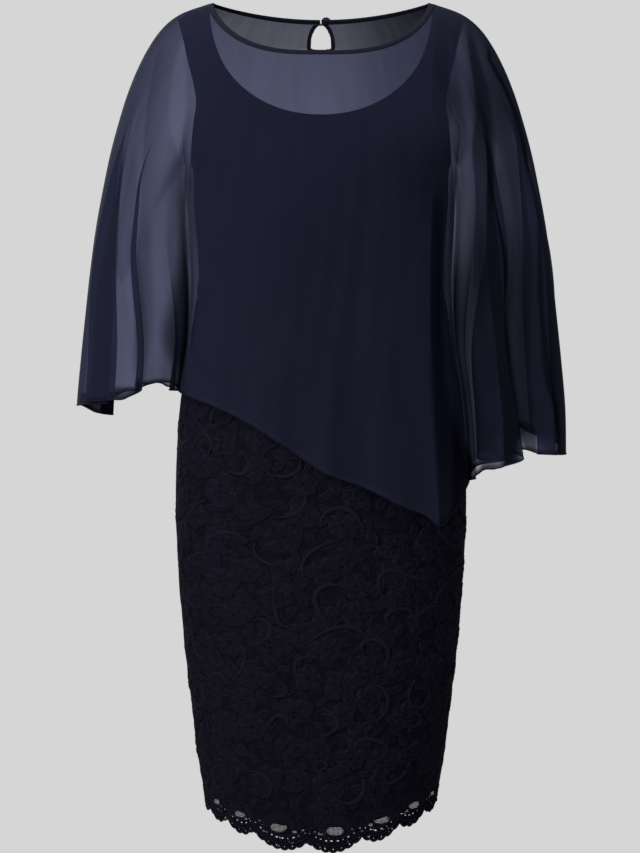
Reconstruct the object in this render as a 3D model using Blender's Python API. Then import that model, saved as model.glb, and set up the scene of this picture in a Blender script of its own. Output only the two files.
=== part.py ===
"""Cocktail dress as worn, with no wearer: jersey bodice and slip, lace skirt and a chiffon cape.

Metres, +Z up, the front faces -Y. The origin lies midway between the shoulders at the height of
the neck points. Each panel is a thin closed wall: its outer points are worked out from the sizes
below, and its inner points lie one cloth thickness further in.
"""

import math
from typing import NamedTuple

import bmesh
import bpy
import numpy as np
from mathutils import Vector
from mathutils.geometry import delaunay_2d_cdt

# Cloth and seams
CHIFFON = 0.0010
JERSEY = 0.0012
LACE = 0.0012
BINDING = 0.0018
SEAM = 0.0003
FRONT, BACK = -1.0, 1.0

# Neckline of the cape: half-width and drop of the bound edge, and the width of its bias binding
NECK_HALF = 0.1285
NECK_DROP = {FRONT: 0.0620, BACK: 0.0160}
NECK_BAND = 0.0050

# Keyhole at centre back: a pointed arch whose foot turns in with small rounded corners
KEYHOLE_WIDTH = 0.0252
KEYHOLE_ARCH = 0.0243
KEYHOLE_FOOT = 0.0035
KEYHOLE_POINTED = 0.56
KEYHOLE_SQUARE = 3.2
KEYHOLE_BAND = 0.0045

# Bodice neckline and armholes
SCOOP_HALF = 0.1335
SCOOP_BOTTOM = {FRONT: -0.1375, BACK: -0.1350}
SCOOP_ROUND = 2.1
STRAP_TOP = -0.0038
STRAP_END = -0.0190
UNDERARM = -0.1930
WAIST = -0.3550

# Skirt: where each slip panel is parted at the hips, hems at the side seams, and how much lower
# the centre hangs
HIP_LINE = -0.5597
LINING_HEM_SIDE = -0.9440
LINING_HEM_DIP = {FRONT: 0.0210, BACK: 0.0100}
LACE_HEM_SIDE = -0.9690
LACE_HEM_DIP = {FRONT: 0.0245, BACK: 0.0100}
MOST_MITRE = 2.5
LACE_GAP = 0.0021

# Lace repeats, measured along the hem
SCALLOP = 0.0720
SCALLOP_START = -0.0150
SCALLOP_DEPTH = 0.0125
SCALLOP_SWELL = 0.8
HEM_HALF_GIRTH = 0.1975
BORDER_EYELETS = 5
EYELET_FIRST, EYELET_STEP = 0.16, 0.17
EYELET_RADIUS = 0.0023
EYELET_INSET = 0.0095
WINDOW = (0.0062, 0.0036)
WINDOW_INSET = 0.0215
BODY_GAP = (0.0026, 0.0048)
BODY_GAP_ROWS = 8
BODY_GAP_START, BODY_GAP_STEP = 0.060, 0.066
BODY_GAP_TILTS = (-30.0, 35.0)
GAP_SIDE_ROOM = 0.007

# Cape: share of each half that is body, the rest being sleeve, and where the sleeve parts from it
BODY_SHARE = 0.5
SPLIT_TOP, SPLIT_FULL = -0.135, -0.250
FAN = 0.20
SPREAD_TOP, SPREAD_STARTS, SPREAD_ENDS = 0.55, -0.28, -0.47


class Girth(NamedTuple):
    """Cross-section of the torso that the bodice and the skirt follow."""

    z: float
    half_width: float
    front: float
    back: float


GIRTHS = (
    Girth(-1.000, 0.1320, 0.1060, 0.1010),
    Girth(-0.950, 0.1370, 0.1060, 0.1020),
    Girth(-0.900, 0.1450, 0.1060, 0.1030),
    Girth(-0.840, 0.1520, 0.1060, 0.1050),
    Girth(-0.760, 0.1610, 0.1050, 0.1100),
    Girth(-0.680, 0.1670, 0.1040, 0.1180),
    Girth(-0.600, 0.1705, 0.1040, 0.1240),
    Girth(-0.530, 0.1688, 0.1030, 0.1200),
    Girth(-0.470, 0.1640, 0.1000, 0.1100),
    Girth(-0.400, 0.1520, 0.0965, 0.0905),
    Girth(-0.345, 0.1455, 0.0970, 0.0810),
    Girth(-0.300, 0.1465, 0.1080, 0.0860),
    Girth(-0.240, 0.1510, 0.1200, 0.0950),
    Girth(-0.193, 0.1530, 0.1160, 0.0970),
    Girth(-0.160, 0.1630, 0.1090, 0.0940),
    Girth(-0.120, 0.1760, 0.0950, 0.0850),
    Girth(-0.070, 0.1800, 0.0720, 0.0640),
    Girth(-0.045, 0.1790, 0.0550, 0.0490),
    Girth(-0.030, 0.1760, 0.0410, 0.0380),
    Girth(-0.0190, 0.1690, 0.0290, 0.0270),
    Girth(-0.0148, 0.1625, 0.0240, 0.0230),
    Girth(-0.0123, 0.1590, 0.0210, 0.0200),
    Girth(-0.0038, 0.1345, 0.0120, 0.0120),
)
TORSO_ROUND = 2.3


class Armhole(NamedTuple):
    """Edge of the bodice armhole seen from the front."""

    z: float
    x: float


ARMHOLE = (
    Armhole(-0.193, 0.1530),
    Armhole(-0.170, 0.1510),
    Armhole(-0.145, 0.1480),
    Armhole(-0.119, 0.1445),
    Armhole(-0.098, 0.1480),
    Armhole(-0.073, 0.1545),
    Armhole(-0.043, 0.1615),
    Armhole(-0.0265, 0.1665),
    Armhole(-0.0190, 0.1690),
)


class Overarm(NamedTuple):
    """Outer edge of the cape, from the neck over the shoulder and down the sleeve."""

    x: float
    z: float


OVERARM = (
    Overarm(0.1285, 0.0000),
    Overarm(0.1380, -0.0035),
    Overarm(0.1520, -0.0080),
    Overarm(0.1665, -0.0140),
    Overarm(0.1780, -0.0215),
    Overarm(0.1890, -0.0320),
    Overarm(0.2045, -0.0540),
    Overarm(0.2180, -0.0800),
    Overarm(0.2290, -0.1070),
    Overarm(0.2405, -0.1430),
    Overarm(0.2500, -0.1780),
    Overarm(0.2580, -0.2150),
    Overarm(0.2670, -0.2620),
    Overarm(0.2745, -0.3140),
    Overarm(0.2810, -0.3700),
    Overarm(0.2870, -0.4250),
    Overarm(0.2920, -0.4800),
    Overarm(0.2935, -0.5450),
)


class CapeDepth(NamedTuple):
    """How far the cape stands in front of and behind the side line at one height."""

    z: float
    front: float
    back: float
    sleeve_front: float
    sleeve_back: float


CAPE_DEPTHS = (
    CapeDepth(-0.660, 0.1270, 0.1400, 0.0760, 0.0700),
    CapeDepth(-0.560, 0.1270, 0.1380, 0.0740, 0.0680),
    CapeDepth(-0.450, 0.1240, 0.1240, 0.0680, 0.0640),
    CapeDepth(-0.345, 0.1220, 0.1080, 0.0600, 0.0580),
    CapeDepth(-0.240, 0.1300, 0.1060, 0.0540, 0.0520),
    CapeDepth(-0.200, 0.1280, 0.1070, 0.0540, 0.0520),
    CapeDepth(-0.150, 0.1170, 0.1010, 0.0540, 0.0520),
    CapeDepth(-0.100, 0.1010, 0.0900, 0.0540, 0.0520),
    CapeDepth(-0.065, 0.0840, 0.0750, 0.0540, 0.0520),
    CapeDepth(-0.040, 0.0670, 0.0600, 0.0540, 0.0520),
    CapeDepth(-0.015, 0.0420, 0.0400, 0.0540, 0.0520),
    CapeDepth(0.000, 0.0240, 0.0240, 0.0540, 0.0520),
)
CAPE_ROUND = 2.2
BODY_ROUND = 2.5
SLEEVE_ROUND = 2.2


class Stitch(NamedTuple):
    """Side seam where the cape's front and back are joined below the arm."""

    z: float
    x: float


STITCHES = (
    Stitch(-0.660, 0.1770),
    Stitch(-0.560, 0.1770),
    Stitch(-0.460, 0.1695),
    Stitch(-0.400, 0.1600),
    Stitch(-0.345, 0.1560),
    Stitch(-0.240, 0.1590),
    Stitch(-0.150, 0.1600),
    Stitch(0.000, 0.1400),
)


class Crease(NamedTuple):
    """Right-hand edge where the front panel turns back to its side seam."""

    z: float
    x: float


CREASE = (
    Crease(-0.660, 0.1440),
    Crease(-0.600, 0.1400),
    Crease(-0.500, 0.1330),
    Crease(-0.400, 0.1280),
    Crease(-0.300, 0.1280),
    Crease(-0.200, 0.1340),
    Crease(0.000, 0.1400),
)
CREASE_SOFT = 0.010
CREASE_FLOOR = 0.94
CREASE_REACH, CREASE_SQUARE, CREASE_LINE = 1.03, 5, 0.90
CREASE_STARTS, CREASE_FULL = -0.19, -0.34


class Hem(NamedTuple):
    """Hem of the cape by share of its width, -1 at the left overarm and 1 at the right one."""

    share: float
    front: float
    back: float


HEMS = (
    Hem(-1.00, -0.4765, -0.4765),
    Hem(-0.95, -0.4735, -0.4850),
    Hem(-0.89, -0.4705, -0.4925),
    Hem(-0.86, -0.4690, -0.4890),
    Hem(-0.82, -0.4670, -0.4700),
    Hem(-0.73, -0.4630, -0.4620),
    Hem(-0.69, -0.4520, -0.4570),
    Hem(-0.65, -0.4490, -0.4540),
    Hem(-0.58, -0.4480, -0.4520),
    Hem(-0.53, -0.4560, -0.4550),
    Hem(-0.50, -0.4590, -0.4590),
    Hem(-0.35, -0.4740, -0.4760),
    Hem(-0.24, -0.4915, -0.4930),
    Hem(-0.13, -0.5145, -0.5120),
    Hem(0.00, -0.5450, -0.5370),
    Hem(0.15, -0.5660, -0.5600),
    Hem(0.29, -0.5900, -0.5780),
    Hem(0.34, -0.5970, -0.5830),
    Hem(0.385, -0.6090, -0.5860),
    Hem(0.43, -0.6000, -0.5840),
    Hem(0.50, -0.5665, -0.5665),
    Hem(0.525, -0.5610, -0.5600),
    Hem(0.55, -0.5530, -0.5550),
    Hem(0.62, -0.5480, -0.5480),
    Hem(0.67, -0.5430, -0.5440),
    Hem(0.705, -0.5310, -0.5200),
    Hem(0.86, -0.5310, -0.5150),
    Hem(0.96, -0.5330, -0.5180),
    Hem(1.00, -0.5345, -0.5345),
)


class Fold(NamedTuple):
    """One hanging fold of a sleeve, across from the side seam (0) to the overarm (1)."""

    centre: float
    reach: float
    overlap: float
    depth: float
    start: float


FOLDS = {
    (FRONT, "left"): (
        Fold(0.09, 0.09, 0.0190, 0.0100, -0.10),
        Fold(0.40, 0.11, 0.0130, -0.0090, -0.04),
        Fold(0.77, 0.14, 0.0290, -0.0100, -0.07),
    ),
    (FRONT, "right"): (
        Fold(0.08, 0.08, 0.0110, 0.0100, -0.02),
        Fold(0.37, 0.13, 0.0240, 0.0130, -0.04),
        Fold(0.76, 0.13, 0.0230, 0.0110, -0.10),
    ),
    (BACK, "left"): (
        Fold(0.12, 0.12, 0.0160, 0.0080, -0.08),
        Fold(0.74, 0.15, 0.0200, -0.0100, -0.08),
    ),
    (BACK, "right"): (
        Fold(0.285, 0.19, 0.0400, 0.0120, -0.05),
        Fold(0.83, 0.16, 0.0380, -0.0110, -0.05),
    ),
}
FOLD_GROWTH = 0.34
MOST_FOLD_SLOPE = 0.75
FOLD_STATIONS = (-1.0, -0.5, -0.18, 0.18, 0.5, 1.0)
SLEEVE_END_STATIONS = (0.02, 0.07, 0.94, 0.98)
STATION_ROOM = 0.018
BODY_COLUMNS = 14
CREASE_STATIONS = (0.38, 0.42)
SEAM_TAPER, OVERARM_TAPER = 0.08, 0.05
WALL_STARTS, WALL_ENDS = 0.3, 0.9
CAPE_ROWS = (0.0, 0.05, 0.11, 0.18, 0.26, 0.34, 0.43, 0.52, 0.62, 0.72, 0.82, 0.91, 1.0)
WAVE_COUNT, WAVE_DEPTH, WAVE_PHASE, WAVE_FADE = 2.5, 0.004, 0.7, 4
WAVE_STARTS, WAVE_FULL = -0.35, -0.62
BODICE_LOW_ROWS, BODICE_HIGH_ROWS, BODICE_HALF_COLUMNS = 5, 9, 6
YOKE_ROWS, LINING_ROWS, LINING_COLUMNS = 5, 8, 21
LACE_ROWS, LACE_COLUMNS, LACE_EDGE_POINTS = 13, 21, 56
CUSP_ROOM, CUSP_SPACING = 0.0020, 0.0025
LACE_POINT_ROOM, LACE_EDGE_ROOM, GAP_REACH = 0.0095, 0.0120, 0.0120
OUTLINE_SAMPLES = 400
BINDING_END_GAP = 0.0012
NECK_SEAM = 0.0006
KEYHOLE_START = 0.012
KEYHOLE_ARCH_POINTS, KEYHOLE_FOOT_POINTS = 12, 7
KEYHOLE_CUT = (0.02, 0.15)
NECK_BACK_POINTS, NECK_FRONT_POINTS = 9, 25
BUTTON_RADIUS, BUTTON_THICKNESS, BUTTON_PLACE = 0.0042, 0.0036, 0.030
BUTTON_SEGMENTS, BUTTON_RINGS = 14, 8
LOOP_THREAD = 0.0014
LOOP_REACH, LOOP_POINTS = 150.0, 15
SHARP_EDGE = 50.0

# Dyes, as linear base colours, and how matt each cloth is
JERSEY_DYE, JERSEY_MATT = (0.010, 0.011, 0.022), 0.80
LACE_DYE, LACE_MATT = (0.012, 0.011, 0.020), 0.70
CHIFFON_DYE, CHIFFON_MATT = (0.030, 0.035, 0.070), 0.60
TRIM_DYE, TRIM_MATT, BUTTON_MATT = (0.020, 0.020, 0.035), 0.60, 0.35


def smooth_step(low, high, value):
    """0 at low, 1 at high, level at both ends."""
    share = np.clip((np.asarray(value, float) - low) / (high - low), 0.0, 1.0)
    return share * share * (3.0 - 2.0 * share)


def through(knots, values, at):
    """A smooth curve through (knots, values), knots rising, read at one or more places."""
    knots = np.asarray(knots, float)
    values = np.asarray(values, float)
    slopes = np.gradient(values, knots)
    at = np.clip(np.asarray(at, float), knots[0], knots[-1])
    left = np.clip(np.searchsorted(knots, at, side="right") - 1, 0, len(knots) - 2)
    width = knots[left + 1] - knots[left]
    t = (at - knots[left]) / width
    return (
        (2 * t**3 - 3 * t**2 + 1) * values[left]
        + (t**3 - 2 * t**2 + t) * width * slopes[left]
        + (3 * t**2 - 2 * t**3) * values[left + 1]
        + (t**3 - t**2) * width * slopes[left + 1]
    )


def column(rows, key, name, at):
    """One named column of a table, read smoothly along another."""
    ordered = sorted(rows, key=lambda row: getattr(row, key))
    knots = [getattr(row, key) for row in ordered]
    values = [getattr(row, name) for row in ordered]
    return through(knots, values, at)


def torso_point(angle, z, side, outward):
    """Point on the torso: angle runs from -90 degrees at the left side to 90 at the right."""
    half = column(GIRTHS, "z", "half_width", z) + outward
    depth = column(GIRTHS, "z", "front" if side == FRONT else "back", z) + outward
    across = np.sin(angle)
    x = half * np.sign(across) * np.abs(across) ** (2 / TORSO_ROUND)
    y = side * (depth * np.abs(np.cos(angle)) ** (2 / TORSO_ROUND) + SEAM / 2)
    return np.stack(np.broadcast_arrays(x, y, z), axis=-1)


def torso_angle(x, z):
    """Angle whose torso point lies at x."""
    half = column(GIRTHS, "z", "half_width", z)
    share = np.clip(np.abs(x) / half, 0.0, 1.0)
    return np.sign(x) * np.arcsin(share ** (TORSO_ROUND / 2))


def overarm_at(share):
    """Point of the cape's outer edge at a share of its length."""
    points = np.array(OVERARM)
    steps = np.hypot(*np.diff(points, axis=0).T)
    length = np.concatenate([[0.0], np.cumsum(steps)])
    at = np.asarray(share) * length[-1]
    return through(length, points[:, 0], at), through(length, points[:, 1], at)


OVERARM_X, OVERARM_Z = overarm_at(np.linspace(0.0, 1.0, OUTLINE_SAMPLES))


def cape_half_width(z):
    """Half-width of the cape at a height."""
    return np.interp(-np.asarray(z, float), -OVERARM_Z, OVERARM_X)


def overarm_height(x):
    """Height of the cape's shoulder line above x."""
    return np.interp(np.asarray(x, float), OVERARM_X, OVERARM_Z)


def neckline(share, side, inset):
    """x and z of the neck edge, moved down into the cloth by inset; share runs from -1 to 1."""
    half = NECK_HALF + inset
    drop = NECK_DROP[side] + inset + float(overarm_height(half))
    turn = np.radians(90.0) * np.abs(share)
    if side == FRONT:
        x = half * np.sin(turn) ** (2 / 3)
        fall = np.cos(turn) ** (4 / 3)
    else:
        x = half * np.sin(turn)
        fall = np.cos(turn) ** 2
    return np.sign(share) * x, float(overarm_height(half)) - drop * fall


def stitch_x(z):
    """Distance of the cape's side seam from the centre."""
    return column(STITCHES, "z", "x", z)


def cape_depth(x, z, side, right):
    """Distance of the unfolded cape from the side line, at x >= 0 and height z."""
    z = np.asarray(z, float)
    half = cape_half_width(z)
    depth = column(CAPE_DEPTHS, "z", "front" if side == FRONT else "back", z)
    bulge = column(CAPE_DEPTHS, "z", "sleeve_front" if side == FRONT else "sleeve_back", z)
    over = np.clip(x / half, 0.0, 1.0)
    dome = depth * (1.0 - over**CAPE_ROUND) ** (1 / CAPE_ROUND)
    seam = stitch_x(z)
    inner = np.clip(x / seam, 0.0, 1.0)
    body = depth * (1.0 - inner**BODY_ROUND) ** (1 / BODY_ROUND)
    if right and side == FRONT:
        body = creased(body, x, z, depth, seam)
    along = np.clip((x - seam) / (half - seam), 0.0, 1.0)
    sleeve = bulge * (1.0 - np.abs(2 * along - 1.0) ** SLEEVE_ROUND) ** (1 / SLEEVE_ROUND)
    split = smooth_step(-SPLIT_TOP, -SPLIT_FULL, -z)
    return dome + split * (np.where(x < seam, body, sleeve) - dome)


def creased(body, x, z, depth, seam):
    """The front panel kept forward as far as its crease, then led back to the side seam."""
    edge = column(CREASE, "z", "x", z)
    reached = np.clip(x / (seam * CREASE_REACH), 0.0, 1.0)
    forward = depth * (1.0 - reached**CREASE_SQUARE) ** (1 / CREASE_SQUARE)
    back_line = CREASE_LINE * depth * (seam - x) / (seam - edge)
    low = np.clip(0.5 + 0.5 * (back_line - forward) / CREASE_SOFT, 0.0, 1.0)
    turned = back_line + low * (forward - back_line) - CREASE_SOFT * low * (1.0 - low) / 2
    share = smooth_step(-CREASE_STARTS, -CREASE_FULL, -np.asarray(z, float))
    turned = np.maximum(turned, CREASE_FLOOR * body)
    return body + share * (turned - body)


def fold_form(share, fold):
    """Sideways run of a fold, -0.65 to 0.65, at a share of the sleeve's width."""
    turn = math.pi * np.clip((share - fold.centre) / fold.reach, -1.0, 1.0)
    return np.sin(turn) * (1.0 + np.cos(turn)) / 2


def cape_point(share, down, side):
    """Outer point of the cape: share across from -1 to 1, down from the neck (0) to the hem (1)."""
    share = np.asarray(share, float)
    right = share >= 0
    across = np.abs(share)
    top_x, top_z = neckline(share, side, NECK_BAND + NECK_SEAM)
    hem_z = column(HEMS, "share", "front" if side == FRONT else "back", share)
    hem_edge = np.where(right, HEMS[-1].front, HEMS[0].front)
    edge_start = float(overarm_height(NECK_HALF + NECK_BAND + NECK_SEAM))
    edge_fall = edge_drop(down, hem_edge, edge_start)
    fall = down + (edge_fall - down) * across**2
    z = top_z + (hem_z - top_z) * fall
    half = cape_half_width(z)
    start = np.clip(np.abs(top_x) / cape_half_width(top_z), 0.0, 1.0)
    seam = stitch_x(z)
    along = (across - BODY_SHARE) / (1.0 - BODY_SHARE)
    spread = SPREAD_TOP + (1.0 - SPREAD_TOP) * smooth_step(-SPREAD_STARTS, -SPREAD_ENDS, -z)
    parted = np.where(
        across < BODY_SHARE,
        seam * across / BODY_SHARE,
        seam + (half - seam) * np.clip(along, 0.0, 1.0) ** spread,
    )
    blend = smooth_step(0.0, FAN, top_z - z)
    x = half * (start + blend * (parted / half - start))
    depth = np.where(right, cape_depth(x, z, side, True), cape_depth(x, z, side, False))
    wave = WAVE_DEPTH * np.sin(2 * math.pi * WAVE_COUNT * share / BODY_SHARE + WAVE_PHASE)
    wave *= smooth_step(-WAVE_STARTS, -WAVE_FULL, -z)
    depth = depth + wave * (1.0 - np.clip(across / BODY_SHARE, 0.0, 1.0) ** WAVE_FADE)
    for name, mask in (("left", ~right), ("right", right)):
        for fold in FOLDS[(side, name)]:
            grown = smooth_step(-fold.start, FOLD_GROWTH - fold.start, -z)
            run = np.where(mask & (along > 0), fold_form(along, fold), 0.0) * grown
            steepest = MOST_FOLD_SLOPE * spread * (half - seam) * fold.reach / math.pi
            x = x - np.minimum(fold.overlap, steepest) * run
            depth = depth - fold.depth * run * taper(along)
    inside_wall = CHIFFON * (1.0 - smooth_step(WALL_STARTS, WALL_ENDS, along))
    y = side * (depth + inside_wall + SEAM / 2)
    return np.stack(np.broadcast_arrays(np.sign(share) * x, y, z), axis=-1)


def taper(along):
    """Holds a fold's depth back close to the side seam and to the overarm."""
    return smooth_step(0.0, SEAM_TAPER, along) * smooth_step(0.0, OVERARM_TAPER, 1.0 - along)


def edge_drop(down, hem_edge, start):
    """Share of the overarm's fall that is reached at a share of its length."""
    points = np.stack([OVERARM_X, OVERARM_Z])
    steps = np.hypot(*np.diff(points, axis=1))
    length = np.concatenate([[0.0], np.cumsum(steps)])
    first = np.interp(-start, -OVERARM_Z, length)
    last = np.interp(-hem_edge, -OVERARM_Z, length)
    z = np.interp(first + (last - first) * down, length, OVERARM_Z)
    return (z - start) / (hem_edge - start)


def fabric(name, colour, roughness):
    """A cloth material with the colour that the panel is dyed."""
    material = bpy.data.materials.new(name)
    material.use_nodes = True
    shader = material.node_tree.nodes["Principled BSDF"]
    shader.inputs["Base Color"].default_value = (*colour, 1.0)
    shader.inputs["Roughness"].default_value = roughness
    shader.inputs["Metallic"].default_value = 0.0
    material.diffuse_color = (*colour, 1.0)
    return material


def finished_object(name, points, faces, material):
    """A smooth-shaded object from points and faces, turned so that its faces point out."""
    mesh = bpy.data.meshes.new(name)
    bm = bmesh.new()
    corners = [bm.verts.new(Vector(point)) for point in points]
    for face in faces:
        bm.faces.new([corners[index] for index in face])
    bmesh.ops.triangulate(bm, faces=bm.faces[:])
    if bm.calc_volume(signed=True) < 0:
        bmesh.ops.reverse_faces(bm, faces=bm.faces[:])
    bm.to_mesh(mesh)
    bm.free()
    mesh.materials.append(material)
    mesh.shade_smooth()
    mesh.set_sharp_from_angle(angle=math.radians(SHARP_EDGE))
    made = bpy.data.objects.new(name, mesh)
    bpy.context.scene.collection.objects.link(made)
    return made


def thickened(name, points, faces, side, thickness, material):
    """A closed wall on an open surface of outer points, one cloth thickness deep, growing inwards.

    Where the surface turns sharply outwards, the inner points move on to where its two sheets meet.
    """
    points = np.asarray(points, float)
    normals, middles = np.zeros_like(points), np.zeros_like(points)
    facings, touching = [], np.zeros((len(points), 1))
    for face in faces:
        corners = points[list(face)]
        normal = np.cross(corners[1] - corners[0], corners[-1] - corners[0])
        normal += np.cross(corners[-1] - corners[-2], corners[1] - corners[-2])
        facings.append(normal / np.linalg.norm(normal))
        normals[list(face)] += normal
        middles[list(face)] += corners.mean(axis=0)
        touching[list(face)] += 1
    normals /= np.maximum(np.linalg.norm(normals, axis=1, keepdims=True), 1e-12)
    along = np.zeros((len(points), 1))
    for face, facing in zip(faces, facings):
        along[list(face), 0] += normals[list(face)] @ facing
    if (normals[:, 1] * side).sum() < 0:
        normals = -normals
    outwards = ((middles / touching - points) * normals).sum(axis=1, keepdims=True) < 0
    mitre = np.where(outwards, 1.0 / np.clip(along / touching, 1.0 / MOST_MITRE, 1.0), 1.0)
    inner = points - thickness * mitre * normals
    inner[:, 1] = side * np.maximum(side * inner[:, 1], SEAM / 2)
    count = len(points)
    solid = [tuple(face) for face in faces]
    solid += [tuple(count + index for index in reversed(face)) for face in faces]
    edges = {(a, b) for face in faces for a, b in zip(face, (*face[1:], face[0]))}
    solid += [(b, a, count + a, count + b) for a, b in sorted(edges) if (b, a) not in edges]
    return finished_object(name, np.concatenate([points, inner]), solid, material)


def grid_faces(rows, columns):
    """Quads of a grid whose points run row by row."""
    return [
        (i * columns + j, i * columns + j + 1, (i + 1) * columns + j + 1, (i + 1) * columns + j)
        for i in range(rows - 1)
        for j in range(columns - 1)
    ]


def wall(name, grid, side, thickness, material):
    """A closed wall on a grid of outer points."""
    rows, columns = grid.shape[:2]
    return thickened(name, grid.reshape(-1, 3), grid_faces(rows, columns), side, thickness, material)


def scoop(share, side):
    """x and z of the bodice neckline: share 0 at the centre, 1 at the shoulder seam."""
    turn = math.pi / 2 * share
    x = SCOOP_HALF * math.sin(turn) ** (2 / SCOOP_ROUND)
    fall = math.cos(turn) ** (2 / SCOOP_ROUND)
    return x, STRAP_TOP + (SCOOP_BOTTOM[side] - STRAP_TOP) * fall


def bodice_rows(side):
    """Rows of half a bodice panel as (angle, z) pairs: neck or centre end first, outer end last."""
    quarter = math.pi / 2
    rows = []
    for i in range(BODICE_LOW_ROWS):
        share = i / BODICE_LOW_ROWS
        centre_z = WAIST + (SCOOP_BOTTOM[side] - WAIST) * share
        rows.append(((0.0, centre_z), (quarter, WAIST + (UNDERARM - WAIST) * share)))
    for i in range(BODICE_HIGH_ROWS + 1):
        share = i / BODICE_HIGH_ROWS
        x, z = scoop(share, side)
        edge_z = UNDERARM + (STRAP_END - UNDERARM) * share
        edge_x = float(column(ARMHOLE, "z", "x", edge_z))
        rows.append(((float(torso_angle(x, z)), z), (float(torso_angle(edge_x, edge_z)), edge_z)))
    rows[BODICE_LOW_ROWS] = (rows[BODICE_LOW_ROWS][0], (quarter, UNDERARM))
    rows[-1] = ((quarter, STRAP_TOP), (quarter, STRAP_END))
    return rows


def make_bodice(name, side, material):
    """A bodice panel: one body up to the scoop, then two straps that end at the shoulder seams."""
    rows = bodice_rows(side)
    steps = np.linspace(0.0, 1.0, BODICE_HALF_COLUMNS + 1)
    points, index = [], {}
    for half in (-1, 1):
        for i, ((angle_in, z_in), (angle_out, z_out)) in enumerate(rows):
            for j, step in enumerate(steps):
                if half == 1 and j == 0 and i <= BODICE_LOW_ROWS:
                    index[(half, i, j)] = index[(-1, i, j)]
                    continue
                index[(half, i, j)] = len(points)
                angle = half * (angle_in + (angle_out - angle_in) * step)
                points.append(torso_point(angle, z_in + (z_out - z_in) * step, side, 0.0))
    faces = []
    for half in (-1, 1):
        for i in range(len(rows) - 1):
            for j in range(BODICE_HALF_COLUMNS):
                corners = ((i, j), (i, j + 1), (i + 1, j + 1), (i + 1, j))
                face = [index[(half, *corner)] for corner in corners]
                faces.append(face if half == 1 else face[::-1])
    return thickened(name, points, faces, side, JERSEY, material)


def hem_angle(along, side):
    """Angle of the torso that lies a given length along the lace hem from the centre."""
    turns = np.linspace(-math.pi / 2, math.pi / 2, OUTLINE_SAMPLES + 1)
    rim = torso_point(turns, LACE_HEM_SIDE, side, LACE_GAP + LACE)
    steps = np.linalg.norm(np.diff(rim, axis=0), axis=1)
    length = np.concatenate([[0.0], np.cumsum(steps)])
    share = 2 * length / length[-1] - 1.0
    return np.interp(np.asarray(along) / HEM_HALF_GIRTH, share, turns)


def make_skirt_lining(name, side, top, bottom, rows, material):
    """A slip skirt panel between two heights, the lower one level or, where None, its own hem."""
    angles = hem_angle(np.linspace(-HEM_HALF_GIRTH, HEM_HALF_GIRTH, LINING_COLUMNS), side)
    hem = LINING_HEM_SIDE - LINING_HEM_DIP[side] * np.cos(angles) ** 2
    low = hem if bottom is None else np.full_like(hem, bottom)
    shares = np.linspace(0.0, 1.0, rows)
    grid = [torso_point(angles, top + (low - top) * share, side, 0.0) for share in shares]
    return wall(name, np.array(grid), side, JERSEY, material)


def scallop_edge(along):
    """How far the lace edge hangs below the cusp line at a place along the hem."""
    phase = np.abs(np.sin(math.pi * (along - SCALLOP_START) / SCALLOP))
    return SCALLOP_DEPTH * phase**SCALLOP_SWELL


def lace_hem(along, side):
    """Height of the scalloped edge at a place along the hem."""
    turn = math.pi / 2 * along / HEM_HALF_GIRTH
    cusp_line = LACE_HEM_SIDE + SCALLOP_DEPTH - LACE_HEM_DIP[side] * np.cos(turn) ** 2
    return cusp_line - scallop_edge(along)


def leaf(centre, size, tilt, corners):
    """A small closed outline: a pointed leaf with four corners, a rounder one with more."""
    turns = np.arange(corners) * 2 * math.pi / corners
    across = size[0] * np.cos(turns)
    up = size[1] * np.sin(turns)
    return [
        (
            centre[0] + x * math.cos(tilt) - z * math.sin(tilt),
            centre[1] + x * math.sin(tilt) + z * math.cos(tilt),
        )
        for x, z in zip(across, up)
    ]


def lace_gaps(side):
    """Outlines of the gaps cut through one lace panel, along the hem and up."""
    gaps = []
    first = math.floor((-HEM_HALF_GIRTH - SCALLOP_START) / SCALLOP)
    for number in range(first, -first + 1):
        start = SCALLOP_START + number * SCALLOP
        middle = start + SCALLOP / 2
        for k in range(BORDER_EYELETS):
            along = start + SCALLOP * (EYELET_FIRST + EYELET_STEP * k)
            height = float(lace_hem(along, side)) + EYELET_INSET
            gaps.append(leaf((along, height), (EYELET_RADIUS, EYELET_RADIUS), 0.0, 6))
        height = float(lace_hem(middle, side)) + WINDOW_INSET
        gaps.append(leaf((middle, height), WINDOW, 0.0, 6))
        for row in range(BODY_GAP_ROWS):
            shift = SCALLOP / 2 if row % 2 else 0.0
            height = float(lace_hem(middle, side)) + BODY_GAP_START + BODY_GAP_STEP * row
            tilt = math.radians(BODY_GAP_TILTS[(row + number) % 2])
            gaps.append(leaf((start + shift + SCALLOP / 4, height), BODY_GAP, tilt, 4))
    room = HEM_HALF_GIRTH - GAP_SIDE_ROOM
    return [gap for gap in gaps if max(abs(x) for x, _ in gap) < room]


def lace_outline(side):
    """Outline of one lace panel: scalloped edge from left to right, then sides and waist."""
    stations = np.linspace(-HEM_HALF_GIRTH, HEM_HALF_GIRTH, LACE_EDGE_POINTS)
    cusp = SCALLOP_START + SCALLOP * np.arange(-3, 4)
    cusp = cusp[np.abs(cusp) < HEM_HALF_GIRTH - CUSP_ROOM]
    near = np.abs(stations[:, None] - cusp[None, :]).min(axis=1) > CUSP_SPACING
    stations = np.sort(np.concatenate([stations[near], cusp]))
    edge = [(float(x), float(lace_hem(x, side))) for x in stations]
    heights = np.linspace(edge[-1][1], WAIST, LACE_ROWS)[1:-1]
    right = [(HEM_HALF_GIRTH, float(z)) for z in heights]
    top = [(float(x), WAIST) for x in np.linspace(HEM_HALF_GIRTH, -HEM_HALF_GIRTH, LACE_COLUMNS)]
    left = [(-x, z) for x, z in reversed(right)]
    return edge + right + top + left


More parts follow.
